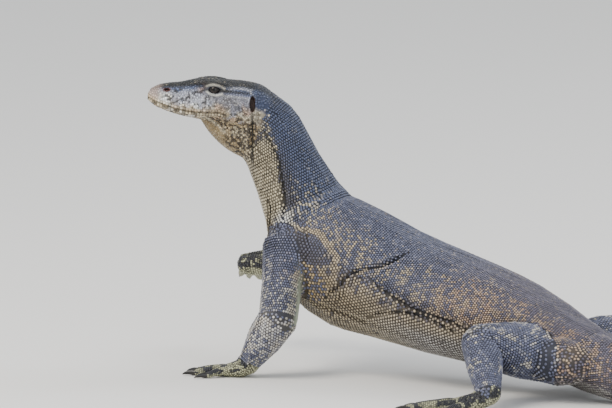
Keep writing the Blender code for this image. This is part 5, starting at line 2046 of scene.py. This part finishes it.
# %% [markdown]
# ## Eye and claw materials
#
# The eye is wet and shines; the iris of a water monitor is dark brown with a thin golden ring
# round the pupil. The angle stored on the eyeball drives a colour ramp. The claws are solid
# dark horn, worn smooth by the ground, and a little browner at the root and at the tip.

# %% Materials of eyes and claws
HORN_GRAIN_MM = 1.2
HORN_COLOURS = ((0.0, "#2E2620"), (0.35, "#171412"), (0.8, "#121010"), (1.0, "#2C2621"))
# angle from the middle of the pupil as a share of 1.2 radians: pupil, golden ring, iris, dark rest
IRIS_COLOURS = (
    (0.0, "#040404"), (0.22, "#050506"), (0.25, "#33261A"),
    (0.30, "#17120F"), (0.52, "#13100F"), (0.66, "#0A0909"),
)

wet_eye, shader = new_material("wet_cornea_over_brown_iris")
polar = node(wet_eye, "ShaderNodeAttribute", {"attribute_name": "Polar"})
share = node(wet_eye, "ShaderNodeMapRange", {"From Max": 1.2}, Value=polar.outputs["Fac"])
iris = node(wet_eye, "ShaderNodeValToRGB", stops=IRIS_COLOURS, Fac=share.outputs["Result"])
wet_eye.node_tree.links.new(iris.outputs["Color"], shader.inputs["Base Color"])
shader.inputs["Roughness"].default_value = 0.06
shader.inputs["IOR"].default_value = 1.376
for eye in eyes:
    eye.data.materials.append(wet_eye)

horn, shader = new_material("claw_horn_worn_smooth")
tip = node(horn, "ShaderNodeAttribute", {"attribute_name": "Tip"})
grown = node(horn, "ShaderNodeValToRGB", stops=HORN_COLOURS, Fac=tip.outputs["Fac"])
horn.node_tree.links.new(grown.outputs["Color"], shader.inputs["Base Color"])
place = node(horn, "ShaderNodeTexCoord").outputs["Object"]
grain = node(horn, "ShaderNodeTexNoise", {"Scale": 1000 / HORN_GRAIN_MM, "Detail": 2.0}, Vector=place)
bump = node(horn, "ShaderNodeBump", {"Strength": 0.4, "Distance": 0.00008}, Height=grain.outputs["Fac"])
horn.node_tree.links.new(bump.outputs["Normal"], shader.inputs["Normal"])
shader.inputs["Roughness"].default_value = 0.32
shader.inputs["IOR"].default_value = KERATIN_IOR
for made in claw_tops.values():
    made.data.materials.append(horn)
print("materials in all:", len(bpy.data.materials))
